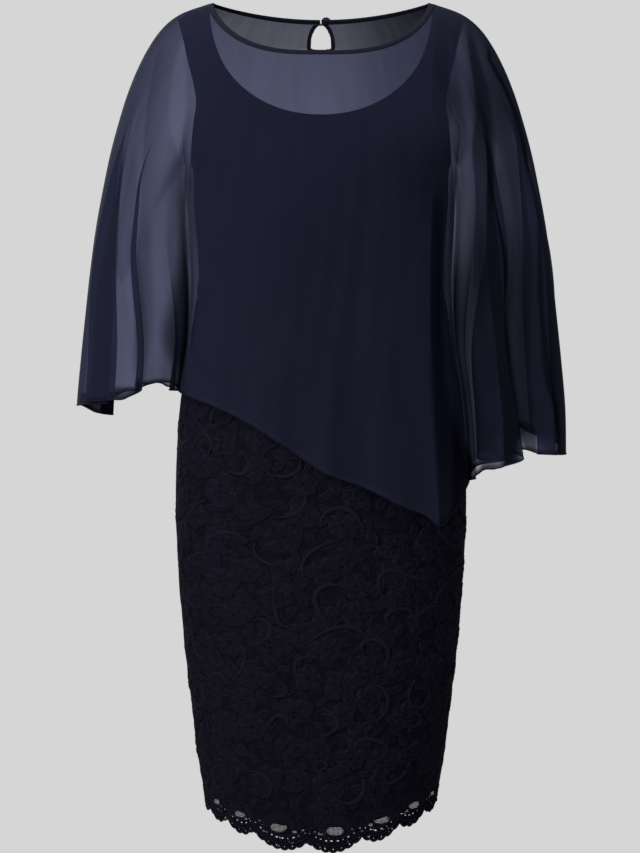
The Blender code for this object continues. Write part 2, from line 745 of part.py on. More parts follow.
def inside(point, outline):
    """Whether a point lies inside a closed outline."""
    within = False
    for (ax, az), (bx, bz) in zip(outline, outline[1:] + outline[:1]):
        if (az > point[1]) != (bz > point[1]):
            cross = ax + (point[1] - az) * (bx - ax) / (bz - az)
            within ^= point[0] < cross
    return within


def lace_surface(side):
    """Flat points and triangles of one lace panel, with its gaps left out."""
    outline = lace_outline(side)
    gaps = lace_gaps(side)
    points = list(outline)
    edges = [(i, (i + 1) % len(outline)) for i in range(len(outline))]
    for gap in gaps:
        start = len(points)
        points += gap
        edges += [(start + i, start + (i + 1) % len(gap)) for i in range(len(gap))]
    centres = np.array([np.mean(gap, axis=0) for gap in gaps])
    for z in np.linspace(WAIST, LACE_HEM_SIDE, LACE_ROWS)[1:-1]:
        for x in np.linspace(-HEM_HALF_GIRTH, HEM_HALF_GIRTH, LACE_COLUMNS)[1:-1]:
            clear = np.hypot(*(centres - (x, z)).T).min() > LACE_POINT_ROOM
            if clear and inside((x, z), outline) and z > lace_hem(x, side) + LACE_EDGE_ROOM:
                points.append((float(x), float(z)))
    flat = [Vector(point) for point in points]
    corners, _, triangles, _, _, _ = delaunay_2d_cdt(flat, edges, [], 0, 1e-6)
    kept = []
    for triangle in triangles:
        middle = sum((corners[index] for index in triangle), Vector((0.0, 0.0))) / 3
        place = (middle.x, middle.y)
        near = [gap for gap, c in zip(gaps, centres) if math.dist(place, c) < GAP_REACH]
        if inside(place, outline) and not any(inside(place, gap) for gap in near):
            kept.append(tuple(triangle))
    return corners, kept


def make_lace_skirt(name, side, material):
    """A lace skirt panel with a scalloped edge, its eyelets and gaps cut through."""
    corners, faces = lace_surface(side)
    used = sorted({index for face in faces for index in face})
    renamed = {index: place for place, index in enumerate(used)}
    flat = np.array([corners[index] for index in used])
    angle = hem_angle(flat[:, 0], side)
    points = torso_point(angle, flat[:, 1], side, LACE_GAP + LACE)
    faces = [tuple(renamed[index] for index in face) for face in faces]
    return thickened(name, points, faces, side, LACE, material)


def fold_stations(side, half):
    """Shares across one sleeve at which its folds need a column of points."""
    stations = set(SLEEVE_END_STATIONS)
    for fold in FOLDS[(side, half)]:
        stations |= {round(fold.centre + fold.reach * step, 4) for step in FOLD_STATIONS}
    inner = sorted(value for value in stations if 0.0 < value < 1.0)
    kept = [0.0]
    for value in inner:
        if value - kept[-1] > STATION_ROOM:
            kept.append(value)
    return kept + [1.0]


def cape_shares(side):
    """Shares across the whole cape, from the left overarm to the right one."""
    left = [-(BODY_SHARE + (1 - BODY_SHARE) * v) for v in reversed(fold_stations(side, "left"))]
    right = [BODY_SHARE + (1 - BODY_SHARE) * v for v in fold_stations(side, "right")]
    turns = np.linspace(-math.pi / 2, math.pi / 2, BODY_COLUMNS + 1)[1:-1]
    body = list(BODY_SHARE * np.sin(turns))
    if side == FRONT:
        body += list(CREASE_STATIONS)
    return np.array(sorted(set(left + body + right)))


def make_cape(name, side, material):
    """One side of the chiffon cape, with its two sleeve halves."""
    shares = cape_shares(side)
    grid = np.array([cape_point(shares, down, side) for down in CAPE_ROWS])
    return wall(name, grid, side, CHIFFON, material)


def keyhole_outline(outset):
    """x and z round the keyhole, from its top down the right side and up the left one."""
    top = neckline(0.0, BACK, NECK_BAND)[1] - 2 * SEAM
    down = KEYHOLE_START + (1.0 - KEYHOLE_START) * np.linspace(0.0, 1.0, KEYHOLE_ARCH_POINTS) ** 1.5
    turns = np.linspace(0.0, math.pi / 2, KEYHOLE_FOOT_POINTS)[1:]
    arch = (1.0 - (1.0 - down) ** 2) ** KEYHOLE_POINTED
    wide = np.concatenate([arch, np.cos(turns) ** (2 / KEYHOLE_SQUARE)])
    foot = KEYHOLE_ARCH + KEYHOLE_FOOT * np.sin(turns) ** (2 / KEYHOLE_SQUARE)
    fall = np.concatenate([KEYHOLE_ARCH * down, foot])
    x = KEYHOLE_WIDTH / 2 * np.concatenate([wide, -wide[-2::-1]])
    z = top - np.concatenate([fall, fall[-2::-1]])
    run = np.stack([np.gradient(x), np.gradient(z)])
    run /= np.linalg.norm(run, axis=0)
    return x - outset * run[1], np.minimum(z + outset * run[0], top)


def cut_keyhole(cape):
    """Cuts the keyhole and its binding's seam allowance out of the back of the cape."""
    x, z = keyhole_outline(KEYHOLE_BAND + SEAM)
    outline = [(x[0], 0.0), *zip(x, z), (x[-1], 0.0)]
    points = [(px, near, pz) for near in KEYHOLE_CUT for px, pz in outline]
    count = len(outline)
    faces = [tuple(range(count)), tuple(range(2 * count - 1, count - 1, -1))]
    faces += [(i, (i + 1) % count, count + (i + 1) % count, count + i) for i in range(count)]
    cutter = finished_object("keyhole_cutter", points, faces, cape.data.materials[0])
    cutter.hide_render = True
    cutter.display_type = "WIRE"
    cut = cape.modifiers.new("keyhole", "BOOLEAN")
    cut.operation = "DIFFERENCE"
    cut.solver = "EXACT"
    cut.object = cutter


def strip(name, loops, material):
    """A closed strip through four equally long loops of points, its ends capped."""
    columns = len(loops[0])
    faces = []
    for j in range(columns - 1):
        for k in range(4):
            a, b = k * columns, ((k + 1) % 4) * columns
            faces.append((a + j, a + j + 1, b + j + 1, b + j))
    faces.append(tuple(k * columns for k in range(4)))
    faces.append(tuple(k * columns + columns - 1 for k in reversed(range(4))))
    return finished_object(name, np.concatenate(loops), faces, material)


def neck_point(share, side, inset, outward):
    """Point of the cape's surface near the neck edge, moved out by the given distance."""
    x, z = neckline(share, side, inset)
    depth = cape_depth(np.abs(x), z, side, False)
    return np.stack(np.broadcast_arrays(x, side * (depth + CHIFFON + outward), z), axis=-1)


def make_neck_binding(name, material):
    """Bias binding round the neck: one strip from centre back round the front to centre back."""
    gap = BINDING_END_GAP / NECK_HALF / 2
    back_right = np.linspace(gap, 1.0, NECK_BACK_POINTS)[:-1]
    front = np.linspace(1.0, -1.0, NECK_FRONT_POINTS)
    back_left = np.linspace(-1.0, -gap, NECK_BACK_POINTS)[1:]
    path = [(BACK, share) for share in back_right]
    path += [(FRONT, share) for share in front]
    path += [(BACK, share) for share in back_left]
    proud = (BINDING - CHIFFON) / 2
    grid = np.array(
        [[neck_point(share, side, inset, proud) for side, share in path] for inset in (NECK_BAND, 0.0)]
    )
    inner = grid.copy()
    away = grid[..., :2] / np.linalg.norm(grid[..., :2], axis=-1, keepdims=True)
    inner[..., :2] -= BINDING * away
    return strip(name, [grid[0], grid[1], inner[1], inner[0]], material)


def make_keyhole_binding(name, material):
    """Narrow binding that follows the keyhole from one side of its top to the other."""
    loops = []
    for outset, inward in ((KEYHOLE_BAND, 0.0), (0.0, 0.0), (0.0, BINDING), (KEYHOLE_BAND, BINDING)):
        x, z = keyhole_outline(outset)
        depth = cape_depth(np.abs(x), z, BACK, False) + CHIFFON + (BINDING - CHIFFON) / 2
        loops.append(np.stack([x, depth - inward, z], axis=-1))
    return strip(name, loops, material)


def button_frame():
    """Place on the right end of the neck binding, and the turn that faces a disc out from it."""
    outward = (BINDING - CHIFFON) / 2
    low = Vector(neck_point(BUTTON_PLACE, BACK, NECK_BAND, outward))
    high = Vector(neck_point(BUTTON_PLACE, BACK, 0.0, outward))
    up = (high - low).normalized()
    normal = up.cross(Vector((1.0, 0.0, 0.0))).normalized()
    return (low + high) / 2, normal.to_track_quat("Z", "Y")


def make_button(name, material):
    """Small domed button on the right end of the neck binding."""
    place, facing = button_frame()
    mesh = bpy.data.meshes.new(name)
    bm = bmesh.new()
    rings = {"u_segments": BUTTON_SEGMENTS, "v_segments": BUTTON_RINGS}
    bmesh.ops.create_uvsphere(bm, radius=BUTTON_RADIUS, **rings)
    for vertex in bm.verts:
        vertex.co.z *= BUTTON_THICKNESS / (2 * BUTTON_RADIUS)
    bm.to_mesh(mesh)
    bm.free()
    mesh.materials.append(material)
    mesh.shade_smooth()
    made = bpy.data.objects.new(name, mesh)
    made.location = place + facing @ Vector((0.0, 0.0, BUTTON_THICKNESS / 2 + SEAM))
    made.rotation_mode = "QUATERNION"
    made.rotation_quaternion = facing
    bpy.context.scene.collection.objects.link(made)
    return made


def make_loop(name, material):
    """Thread loop from the left end of the neck binding round the button."""
    place, facing = button_frame()
    radius = BUTTON_RADIUS + LOOP_THREAD / 2 + SEAM
    curve = bpy.data.curves.new(name, "CURVE")
    curve.dimensions = "3D"
    curve.bevel_depth = LOOP_THREAD / 2
    curve.bevel_resolution = 1
    curve.use_fill_caps = True
    spline = curve.splines.new("POLY")
    turns = np.radians(np.linspace(-LOOP_REACH, LOOP_REACH, LOOP_POINTS))
    spline.points.add(len(turns) - 1)
    for point, turn in zip(spline.points, turns):
        flat = (radius * math.cos(turn), radius * math.sin(turn), BUTTON_THICKNESS / 2)
        point.co = (*(place + facing @ Vector(flat)), 1.0)
    curve.materials.append(material)
    made = bpy.data.objects.new(name, curve)
    bpy.context.scene.collection.objects.link(made)
    return made


def main():
    """Builds every piece of the dress."""
    for old in list(bpy.data.objects):
        bpy.data.objects.remove(old, do_unlink=True)
    jersey = (JERSEY_DYE, JERSEY_MATT)
    lace = (LACE_DYE, LACE_MATT)
    chiffon = (CHIFFON_DYE, CHIFFON_MATT)
    trim = (TRIM_DYE, TRIM_MATT)
    make_bodice("bodice_front", FRONT, fabric("bodice_front", *jersey))
    make_bodice("bodice_back", BACK, fabric("bodice_back", *jersey))
    for word, side in (("front", FRONT), ("back", BACK)):
        dye = fabric("skirt_lining_" + word, *jersey)
        make_skirt_lining("slip_yoke_" + word, side, WAIST - SEAM, HIP_LINE, YOKE_ROWS, dye)
        make_skirt_lining("skirt_lining_" + word, side, HIP_LINE - SEAM, None, LINING_ROWS, dye)
    make_lace_skirt("lace_skirt_front", FRONT, fabric("lace_skirt_front", *lace))
    make_lace_skirt("lace_skirt_back", BACK, fabric("lace_skirt_back", *lace))
    make_cape("overlay_front", FRONT, fabric("overlay_front", *chiffon))
    cut_keyhole(make_cape("overlay_back", BACK, fabric("overlay_back", *chiffon)))
    make_neck_binding("neck_binding", fabric("neck_binding", *trim))
    make_keyhole_binding("keyhole_binding", fabric("keyhole_binding", *trim))
    make_button("neck_button", fabric("neck_button", TRIM_DYE, BUTTON_MATT))
    make_loop("button_loop", fabric("button_loop", *trim))


main()
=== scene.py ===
"""Looks of a navy cocktail dress: jersey bodice and slip, corded lace skirt, sheer chiffon cape.

Metres, +Z up, the front faces -Y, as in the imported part. Each sub-assembly is a class that holds
its sizes and builds and dresses its own meshes. Cloth is a thin shell on its solid's form.
"""

import logging
import math
from abc import ABC, abstractmethod
from dataclasses import dataclass
from enum import Enum
from typing import NamedTuple, Sequence

import bpy
import numpy as np
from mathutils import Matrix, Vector
from mathutils.geometry import delaunay_2d_cdt


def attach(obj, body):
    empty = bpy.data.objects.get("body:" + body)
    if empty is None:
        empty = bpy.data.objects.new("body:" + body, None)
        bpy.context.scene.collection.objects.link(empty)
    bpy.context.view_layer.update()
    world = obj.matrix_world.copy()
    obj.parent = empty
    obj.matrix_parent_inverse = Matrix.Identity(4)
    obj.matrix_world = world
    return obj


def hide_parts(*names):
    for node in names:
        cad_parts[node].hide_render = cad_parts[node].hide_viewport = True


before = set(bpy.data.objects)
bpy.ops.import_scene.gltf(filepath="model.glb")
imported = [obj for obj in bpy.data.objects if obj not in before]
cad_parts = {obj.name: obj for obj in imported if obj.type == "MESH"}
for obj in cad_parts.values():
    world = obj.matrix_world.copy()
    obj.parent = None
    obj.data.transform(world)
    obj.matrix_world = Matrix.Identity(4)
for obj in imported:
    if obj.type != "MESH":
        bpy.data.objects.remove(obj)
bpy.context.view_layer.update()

LOG = logging.getLogger("dress")
Array = np.ndarray
Colour = tuple[float, float, float]

# Cloth, seams and heights shared by several pieces
CHIFFON = 0.001
BINDING = 0.0018
SEAM = 0.0003
WAIST = -0.355
TORSO_ROUND = 2.3
ROLL_CLOTH = 0.004


class Side(Enum):
    """Which way a panel faces along Y."""

    FRONT = -1.0
    BACK = 1.0

    @property
    def word(self) -> str:
        """The side as it stands in names."""
        return self.name.lower()


def records(kind: type, *values: tuple[float, ...]) -> tuple:
    """A table of records, each from its row of numbers."""
    return tuple(kind(*row) for row in values)


class Girth(NamedTuple):
    """Cross-section of the torso that bodice, slip and lace follow."""

    z: float
    half_width: float
    front: float
    back: float


GIRTHS = records(
    Girth,
    (-1.0, 0.132, 0.106, 0.101), (-0.95, 0.137, 0.106, 0.102), (-0.9, 0.145, 0.106, 0.103),
    (-0.84, 0.152, 0.106, 0.105), (-0.76, 0.161, 0.105, 0.11), (-0.68, 0.167, 0.104, 0.118),
    (-0.6, 0.1705, 0.104, 0.124), (-0.53, 0.1688, 0.103, 0.12), (-0.47, 0.164, 0.1, 0.11),
    (-0.4, 0.152, 0.0965, 0.0905), (-0.345, 0.1455, 0.097, 0.081), (-0.3, 0.1465, 0.108, 0.086),
    (-0.24, 0.151, 0.12, 0.095), (-0.193, 0.153, 0.116, 0.097), (-0.16, 0.163, 0.109, 0.094),
    (-0.12, 0.176, 0.095, 0.085), (-0.07, 0.18, 0.072, 0.064), (-0.045, 0.179, 0.055, 0.049),
    (-0.03, 0.176, 0.041, 0.038), (-0.019, 0.169, 0.029, 0.027), (-0.0148, 0.1625, 0.024, 0.023),
    (-0.0123, 0.159, 0.021, 0.02), (-0.0038, 0.1345, 0.012, 0.012),
)


class Place(NamedTuple):
    """A distance from the centre line at one height."""

    z: float
    x: float


# Edge of the bodice's armhole
ARMHOLE = records(
    Place,
    (-0.193, 0.153), (-0.17, 0.151), (-0.145, 0.148), (-0.119, 0.1445), (-0.098, 0.148),
    (-0.073, 0.1545), (-0.043, 0.1615), (-0.0265, 0.1665), (-0.019, 0.169),
)

# Outer edge of the cape, from the neck over the shoulder and down the sleeve
OVERARM = records(
    Place,
    (0.0, 0.1285), (-0.0035, 0.138), (-0.008, 0.152), (-0.014, 0.1665), (-0.0215, 0.178),
    (-0.032, 0.189), (-0.054, 0.2045), (-0.08, 0.218), (-0.107, 0.229), (-0.143, 0.2405),
    (-0.178, 0.25), (-0.215, 0.258), (-0.262, 0.267), (-0.314, 0.2745), (-0.37, 0.281),
    (-0.425, 0.287), (-0.48, 0.292), (-0.545, 0.2935),
)


class CapeDepth(NamedTuple):
    """How far the cape stands in front of and behind the side line at one height."""

    z: float
    front: float
    back: float
    sleeve_front: float
    sleeve_back: float


CAPE_DEPTHS = records(
    CapeDepth,
    (-0.66, 0.127, 0.14, 0.076, 0.07), (-0.56, 0.127, 0.138, 0.074, 0.068),
    (-0.45, 0.124, 0.124, 0.068, 0.064), (-0.345, 0.122, 0.108, 0.06, 0.058),
    (-0.24, 0.13, 0.106, 0.054, 0.052), (-0.2, 0.128, 0.107, 0.054, 0.052),
    (-0.15, 0.117, 0.101, 0.054, 0.052), (-0.1, 0.101, 0.09, 0.054, 0.052),
    (-0.065, 0.084, 0.075, 0.054, 0.052), (-0.04, 0.067, 0.06, 0.054, 0.052),
    (-0.015, 0.042, 0.04, 0.054, 0.052), (0.0, 0.024, 0.024, 0.054, 0.052),
)


# Side seams of the cape's body, where the sleeves part from it
STITCHES = records(
    Place,
    (-0.66, 0.177), (-0.56, 0.177), (-0.46, 0.1695), (-0.4, 0.16), (-0.345, 0.156), (-0.24, 0.159),
    (-0.15, 0.16), (0.0, 0.14),
)

# Crease of the cape's front
CREASE = records(
    Place,
    (-0.66, 0.144), (-0.6, 0.14), (-0.5, 0.133), (-0.4, 0.128), (-0.3, 0.128), (-0.2, 0.134),
    (0.0, 0.14),
)


class Hem(NamedTuple):
    """Hem of the cape by share of its width, -1 at the left overarm and 1 at the right one."""

    share: float
    front: float
    back: float


HEMS = records(
    Hem,
    (-1.0, -0.4765, -0.4765), (-0.95, -0.4735, -0.485), (-0.89, -0.4705, -0.4925),
    (-0.86, -0.469, -0.489), (-0.82, -0.467, -0.47), (-0.73, -0.463, -0.462),
    (-0.69, -0.452, -0.457), (-0.65, -0.449, -0.454), (-0.58, -0.448, -0.452),
    (-0.53, -0.456, -0.455), (-0.5, -0.459, -0.459), (-0.35, -0.474, -0.476),
    (-0.24, -0.4915, -0.493), (-0.13, -0.5145, -0.512), (0.0, -0.545, -0.537),
    (0.15, -0.566, -0.56), (0.29, -0.59, -0.578), (0.34, -0.597, -0.583), (0.385, -0.609, -0.586),
    (0.43, -0.6, -0.584), (0.5, -0.5665, -0.5665), (0.525, -0.561, -0.56), (0.55, -0.553, -0.555),
    (0.62, -0.548, -0.548), (0.67, -0.543, -0.544), (0.705, -0.531, -0.52), (0.86, -0.531, -0.515),
    (0.96, -0.533, -0.518), (1.0, -0.5345, -0.5345),
)


class Fold(NamedTuple):
    """One hanging fold of a sleeve, across from the side seam (0) to the overarm (1)."""

    centre: float
    reach: float
    overlap: float
    depth: float
    start: float
    lean: float


class Half(Enum):
    """Which half of the dress, as the viewer sees it."""

    LEFT = -1
    RIGHT = 1


FOLDS = {
    (Side.FRONT, Half.LEFT): (
        Fold(0.06, 0.06, 0.01, 0.008, -0.2, 0.0),
        Fold(0.34, 0.11, 0.013, -0.009, -0.04, 0.2),
        Fold(0.77, 0.14, 0.029, -0.01, -0.07, 0.0),
    ),
    (Side.FRONT, Half.RIGHT): (
        Fold(0.05, 0.05, 0.003, 0.002, -0.02, 0.0),
        Fold(0.25, 0.13, 0.024, 0.013, -0.13, 0.75),
        Fold(0.76, 0.13, 0.023, 0.011, -0.1, 0.0),
    ),
    (Side.BACK, Half.LEFT): (
        Fold(0.12, 0.12, 0.006, 0.004, -0.3, 0.0), Fold(0.74, 0.15, 0.02, -0.01, -0.08, 0.0)
    ),
    (Side.BACK, Half.RIGHT): (
        Fold(0.285, 0.19, 0.04, 0.012, -0.05, 0.0), Fold(0.83, 0.16, 0.038, -0.011, -0.05, 0.0)
    ),
}


class Strip(NamedTuple):
    """Edges of a band of a sleeve at one height, as distances from the centre line."""

    z: float
    inner: float
    outer: float


class Gather(NamedTuple):
    """A band of a sleeve where the cloth is bunched up into more layers, or drawn thinner; past a
    few layers the chiffon's colour also turns to painted shade.
    """

    layers: float
    inner_soft: float
    outer_soft: float
    start: float
    full: float
    strips: tuple[Strip, ...]


FRONT_LEFT_GATHERS = (
    Gather(0.58, 0.018, 0.0014, -0.03, -0.08, records(Strip,  # painted shade of the middle fold, crisp outside
        (-0.48, 0.208, 0.216), (-0.433, 0.207, 0.2175), (-0.351, 0.205, 0.2185),
        (-0.304, 0.2075, 0.2165), (-0.258, 0.204, 0.2105), (-0.216, 0.201, 0.2085),
        (-0.175, 0.1985, 0.206), (-0.104, 0.193, 0.2), (-0.069, 0.187, 0.193),
    )),
    Gather(1.4, 0.0012, 0.011, -0.205, -0.33, records(Strip,  # wedge beside the side seam: more layers, with painted shade
        (-0.48, 0.16, 0.166), (-0.433, 0.1585, 0.171), (-0.398, 0.157, 0.184),
        (-0.351, 0.1565, 0.1745), (-0.304, 0.1565, 0.165), (-0.258, 0.1565, 0.16),
        (-0.216, 0.1565, 0.158),
    )),
    Gather(0.45, 0.006, 0.006, -0.12, -0.155, records(Strip,  # slanting pull from the armhole
        (-0.27, 0.199, 0.199), (-0.24, 0.192, 0.194), (-0.216, 0.176, 0.184),
        (-0.175, 0.156, 0.163), (-0.14, 0.148, 0.154),
    )),
    Gather(1.2, 0.001, 0.003, -0.09, -0.21, records(Strip,  # wedge along the overarm, widest low
        (-0.48, 0.25, 0.2765), (-0.433, 0.2475, 0.2705), (-0.351, 0.2411, 0.265),
        (-0.258, 0.237, 0.249), (-0.216, 0.235, 0.2405), (-0.14, 0.224, 0.2285),
        (-0.069, 0.1987, 0.2011),
    )),
    Gather(0.45, 0.006, 0.006, -0.22, -0.28, records(Strip,  # painted shade at the lower end of the middle fold
        (-0.45, 0.212, 0.206), (-0.433, 0.208, 0.2165), (-0.398, 0.2, 0.2165),
        (-0.351, 0.2, 0.214), (-0.304, 0.201, 0.212),
    )),
    Gather(0.35, 0.004, 0.004, -0.15, -0.2, records(Strip,  # shade between those two wedges
        (-0.345, 0.24, 0.226), (-0.304, 0.221, 0.245), (-0.258, 0.219, 0.243),
        (-0.216, 0.216, 0.242),
    )),
    Gather(-0.5, 0.003, 0.003, -0.2, -0.24, records(Strip,  # thin strip along the side seam
        (-0.43, 0.156, 0.148), (-0.398, 0.15, 0.155), (-0.351, 0.145, 0.152),
        (-0.304, 0.146, 0.153), (-0.258, 0.15, 0.157), (-0.216, 0.15, 0.155),
    )),
    Gather(-0.35, 0.004, 0.004, -0.03, -0.06, records(Strip,  # thin place below the shoulder
        (-0.2, 0.166, 0.16), (-0.14, 0.156, 0.176), (-0.104, 0.156, 0.174), (-0.069, 0.156, 0.169),
        (-0.04, 0.156, 0.16),
    )),
    Gather(2.0, 0.002, 0.002, -0.45, -0.456, records(Strip,  # layers turned up at the hem
        (-0.52, 0.212, 0.243), (-0.44, 0.212, 0.243),
    )),
    Gather(3.0, 0.001, 0.001, -0.438, -0.45, records(Strip,  # tuck at the inner corner of the hem
        (-0.48, 0.211, 0.2175), (-0.43, 0.211, 0.2175),
    )),
)

FRONT_RIGHT_GATHERS = (
    Gather(1.3, 0.0012, 0.004, -0.01, -0.06, records(Strip,  # painted shade down a column that hangs from the shoulder
        (-0.304, 0.1787, 0.2093), (-0.216, 0.1799, 0.2034), (-0.175, 0.175, 0.201),
        (-0.14, 0.1785, 0.1987), (-0.104, 0.1776, 0.194), (-0.069, 0.1735, 0.1846),
        (-0.034, 0.1705, 0.1776),
    )),
    Gather(-1.3, 0.0012, 0.004, -0.27, -0.38, records(Strip,  # end of that column
        (-0.304, 0.1787, 0.2093), (-0.216, 0.1799, 0.2034),
    )),
    Gather(-0.9, 0.004, 0.01, -0.2, -0.3, records(Strip,  # thin panel beside the side seam
        (-0.56, 0.186, 0.18), (-0.524, 0.173, 0.19), (-0.504, 0.168, 0.19), (-0.48, 0.162, 0.19),
        (-0.445, 0.157, 0.188), (-0.398, 0.157, 0.184), (-0.351, 0.158, 0.178),
        (-0.258, 0.158, 0.174),
    )),
    Gather(-0.35, 0.003, 0.003, -0.24, -0.3, records(Strip,  # thin line down that panel
        (-0.53, 0.179, 0.19), (-0.445, 0.177, 0.187), (-0.351, 0.1785, 0.185),
        (-0.258, 0.1785, 0.184),
    )),
    Gather(-0.55, 0.004, 0.008, -0.36, -0.43, records(Strip,  # thinner foot of that panel
        (-0.56, 0.19, 0.184), (-0.524, 0.171, 0.2), (-0.48, 0.161, 0.2), (-0.445, 0.155, 0.196),
        (-0.398, 0.156, 0.186),
    )),
    Gather(3.6, 0.003, 0.005, -0.06, -0.26, records(Strip,  # painted shade in the sunken fold down the sleeve's middle
        (-0.53, 0.216, 0.227), (-0.49, 0.215, 0.227), (-0.445, 0.21, 0.2215),
        (-0.398, 0.206, 0.2165), (-0.351, 0.201, 0.21), (-0.304, 0.1975, 0.2045),
        (-0.258, 0.1955, 0.2005), (-0.175, 0.1925, 0.196), (-0.104, 0.179, 0.182),
    )),
    Gather(1.3, 0.004, 0.004, -0.215, -0.345, records(Strip,  # sleeve's back through its front: more layers, with painted shade
        (-0.6, 0.156, 0.32), (-0.2, 0.156, 0.32),
    )),
    Gather(0.3, 0.004, 0.004, -0.215, -0.345, records(Strip,  # the same, nearer the side seam
        (-0.6, 0.156, 0.206), (-0.2, 0.156, 0.206),
    )),
    Gather(0.75, 0.004, 0.006, -0.15, -0.215, records(Strip,  # shade beside the deep fold
        (-0.516, 0.236, 0.225), (-0.5, 0.222, 0.242), (-0.445, 0.218, 0.244),
        (-0.351, 0.212, 0.242), (-0.258, 0.206, 0.236), (-0.15, 0.206, 0.233),
    )),
    Gather(2.1, 0.004, 0.006, -0.19, -0.26, records(Strip,  # cloth doubled along the crease, and painted shade where it turns away from the light
        (-0.56, 0.135, 0.175), (-0.524, 0.132, 0.1645), (-0.504, 0.131, 0.159),
        (-0.48, 0.13, 0.1545), (-0.445, 0.129, 0.1485), (-0.398, 0.126, 0.145),
        (-0.351, 0.125, 0.1435), (-0.216, 0.127, 0.144),
    )),
    Gather(-0.55, 0.004, 0.004, -0.02, -0.05, records(Strip,  # thin strip below the shoulder
        (-0.19, 0.178, 0.166), (-0.14, 0.166, 0.175), (-0.104, 0.162, 0.172),
        (-0.069, 0.157, 0.17), (-0.034, 0.15, 0.165),
    )),
    Gather(0.9, 0.003, 0.003, -0.005, -0.03, records(Strip,  # shade at the neck point
        (-0.175, 0.152, 0.14), (-0.14, 0.13, 0.15), (-0.104, 0.127, 0.149), (-0.069, 0.13, 0.148),
        (-0.034, 0.136, 0.148),
    )),
    Gather(0.45, 0.003, 0.004, -0.09, -0.12, records(Strip,  # pull across the armhole
        (-0.21, 0.168, 0.15), (-0.175, 0.15, 0.17), (-0.14, 0.15, 0.162), (-0.104, 0.15, 0.158),
    )),
    Gather(1.9, 0.002, 0.002, -0.045, -0.065, records(Strip,  # upper half of the overarm's fold, darkened with painted shade
        (-0.24, 0.244, 0.238), (-0.216, 0.242, 0.242), (-0.175, 0.236, 0.242),
        (-0.14, 0.2285, 0.234), (-0.104, 0.2135, 0.219), (-0.069, 0.1945, 0.2),
    )),
    Gather(1.8, 0.003, 0.003, -0.215, -0.29, records(Strip,  # lower half of the overarm's fold, darkened with painted shade
        (-0.504, 0.278, 0.282), (-0.48, 0.274, 0.2785), (-0.445, 0.263, 0.271),
        (-0.398, 0.259, 0.264), (-0.351, 0.2555, 0.2605), (-0.304, 0.2545, 0.2595),
        (-0.216, 0.253, 0.2575),
    )),
    Gather(-1.0, 0.006, 0.006, -0.502, -0.52, records(Strip,  # thin patch over the outer hem
        (-0.56, 0.2205, 0.278), (-0.53, 0.223, 0.277), (-0.515, 0.229, 0.276),
        (-0.5, 0.236, 0.242),
    )),
    Gather(0.95, 0.003, 0.003, -0.488, -0.498, records(Strip,  # flap across that patch
        (-0.53, 0.246, 0.2515), (-0.52, 0.239, 0.252), (-0.512, 0.23, 0.252), (-0.5, 0.228, 0.25),
        (-0.486, 0.232, 0.233),
    )),
    Gather(-0.8, 0.002, 0.004, -0.512, -0.524, records(Strip,  # light left at its outer end
        (-0.56, 0.255, 0.273), (-0.514, 0.255, 0.26),
    )),
    Gather(-1.15, 0.005, 0.005, -0.524, -0.536, records(Strip,  # thin patch over the inner hem
        (-0.56, 0.18, 0.215), (-0.545, 0.181, 0.212), (-0.53, 0.19, 0.202),
    )),
    Gather(1.3, 0.002, 0.002, -0.524, -0.53, records(Strip,  # flap between the two patches
        (-0.56, 0.217, 0.233), (-0.52, 0.217, 0.233),
    )),
)

BACK_LEFT_GATHERS = (
    Gather(2.6, 0.002, 0.002, -0.463, -0.469, records(Strip,  # layers turned up at the hem
        (-0.52, 0.23, 0.3), (-0.44, 0.23, 0.3),
    )),
)

GATHERS = {
    (Side.FRONT, Half.LEFT): FRONT_LEFT_GATHERS,
    (Side.FRONT, Half.RIGHT): FRONT_RIGHT_GATHERS,
    (Side.BACK, Half.LEFT): BACK_LEFT_GATHERS,
}


class Seeds(NamedTuple):
    """Numbers that fix the random draws of one side."""

    ripples: int
    holes: int
    windows: int
    flowers: int
    scrolls: int


SEEDS = {
    Side.FRONT: Seeds(ripples=3, holes=31, windows=51, flowers=41, scrolls=5),
    Side.BACK: Seeds(ripples=8, holes=32, windows=52, flowers=77, scrolls=6),
}


def smooth_step(low: float, high: float, value: float | Array) -> Array:
    """Eased share of the way from one value to another."""
    share = np.clip((np.asarray(value, float) - low) / (high - low), 0.0, 1.0)
    return share * share * (3.0 - 2.0 * share)


def through(knots: Sequence[float], values: Sequence[float], at: float | Array) -> Array:
    """A smooth curve through knots, read at one or more places.

    Args:
        knots: rising places of the known values.
        values: the values there.
        at: places to read.

    Returns:
        The curve's value at each place.
    """
    knots = np.asarray(knots, float)
    values = np.asarray(values, float)
    slopes = np.gradient(values, knots)
    at = np.clip(np.asarray(at, float), knots[0], knots[-1])
    left = np.clip(np.searchsorted(knots, at, side="right") - 1, 0, len(knots) - 2)
    width = knots[left + 1] - knots[left]
    t = (at - knots[left]) / width
    return (
        (2 * t**3 - 3 * t**2 + 1) * values[left]
        + (t**3 - 2 * t**2 + t) * width * slopes[left]
        + (3 * t**2 - 2 * t**3) * values[left + 1]
        + (t**3 - t**2) * width * slopes[left + 1]
    )


def column(rows: Sequence[tuple], key: str, name: str, at: float | Array) -> Array:
    """Reads one named column of a table smoothly along another.

    Args:
        rows: rows of named values.
        key: column that the rows are ordered by.
        name: column to read.
        at: places along the key column.

    Returns:
        The column's value at each place.
    """
    ordered = sorted(rows, key=lambda row: getattr(row, key))
    knots = [getattr(row, key) for row in ordered]
    values = [getattr(row, name) for row in ordered]
    return through(knots, values, at)


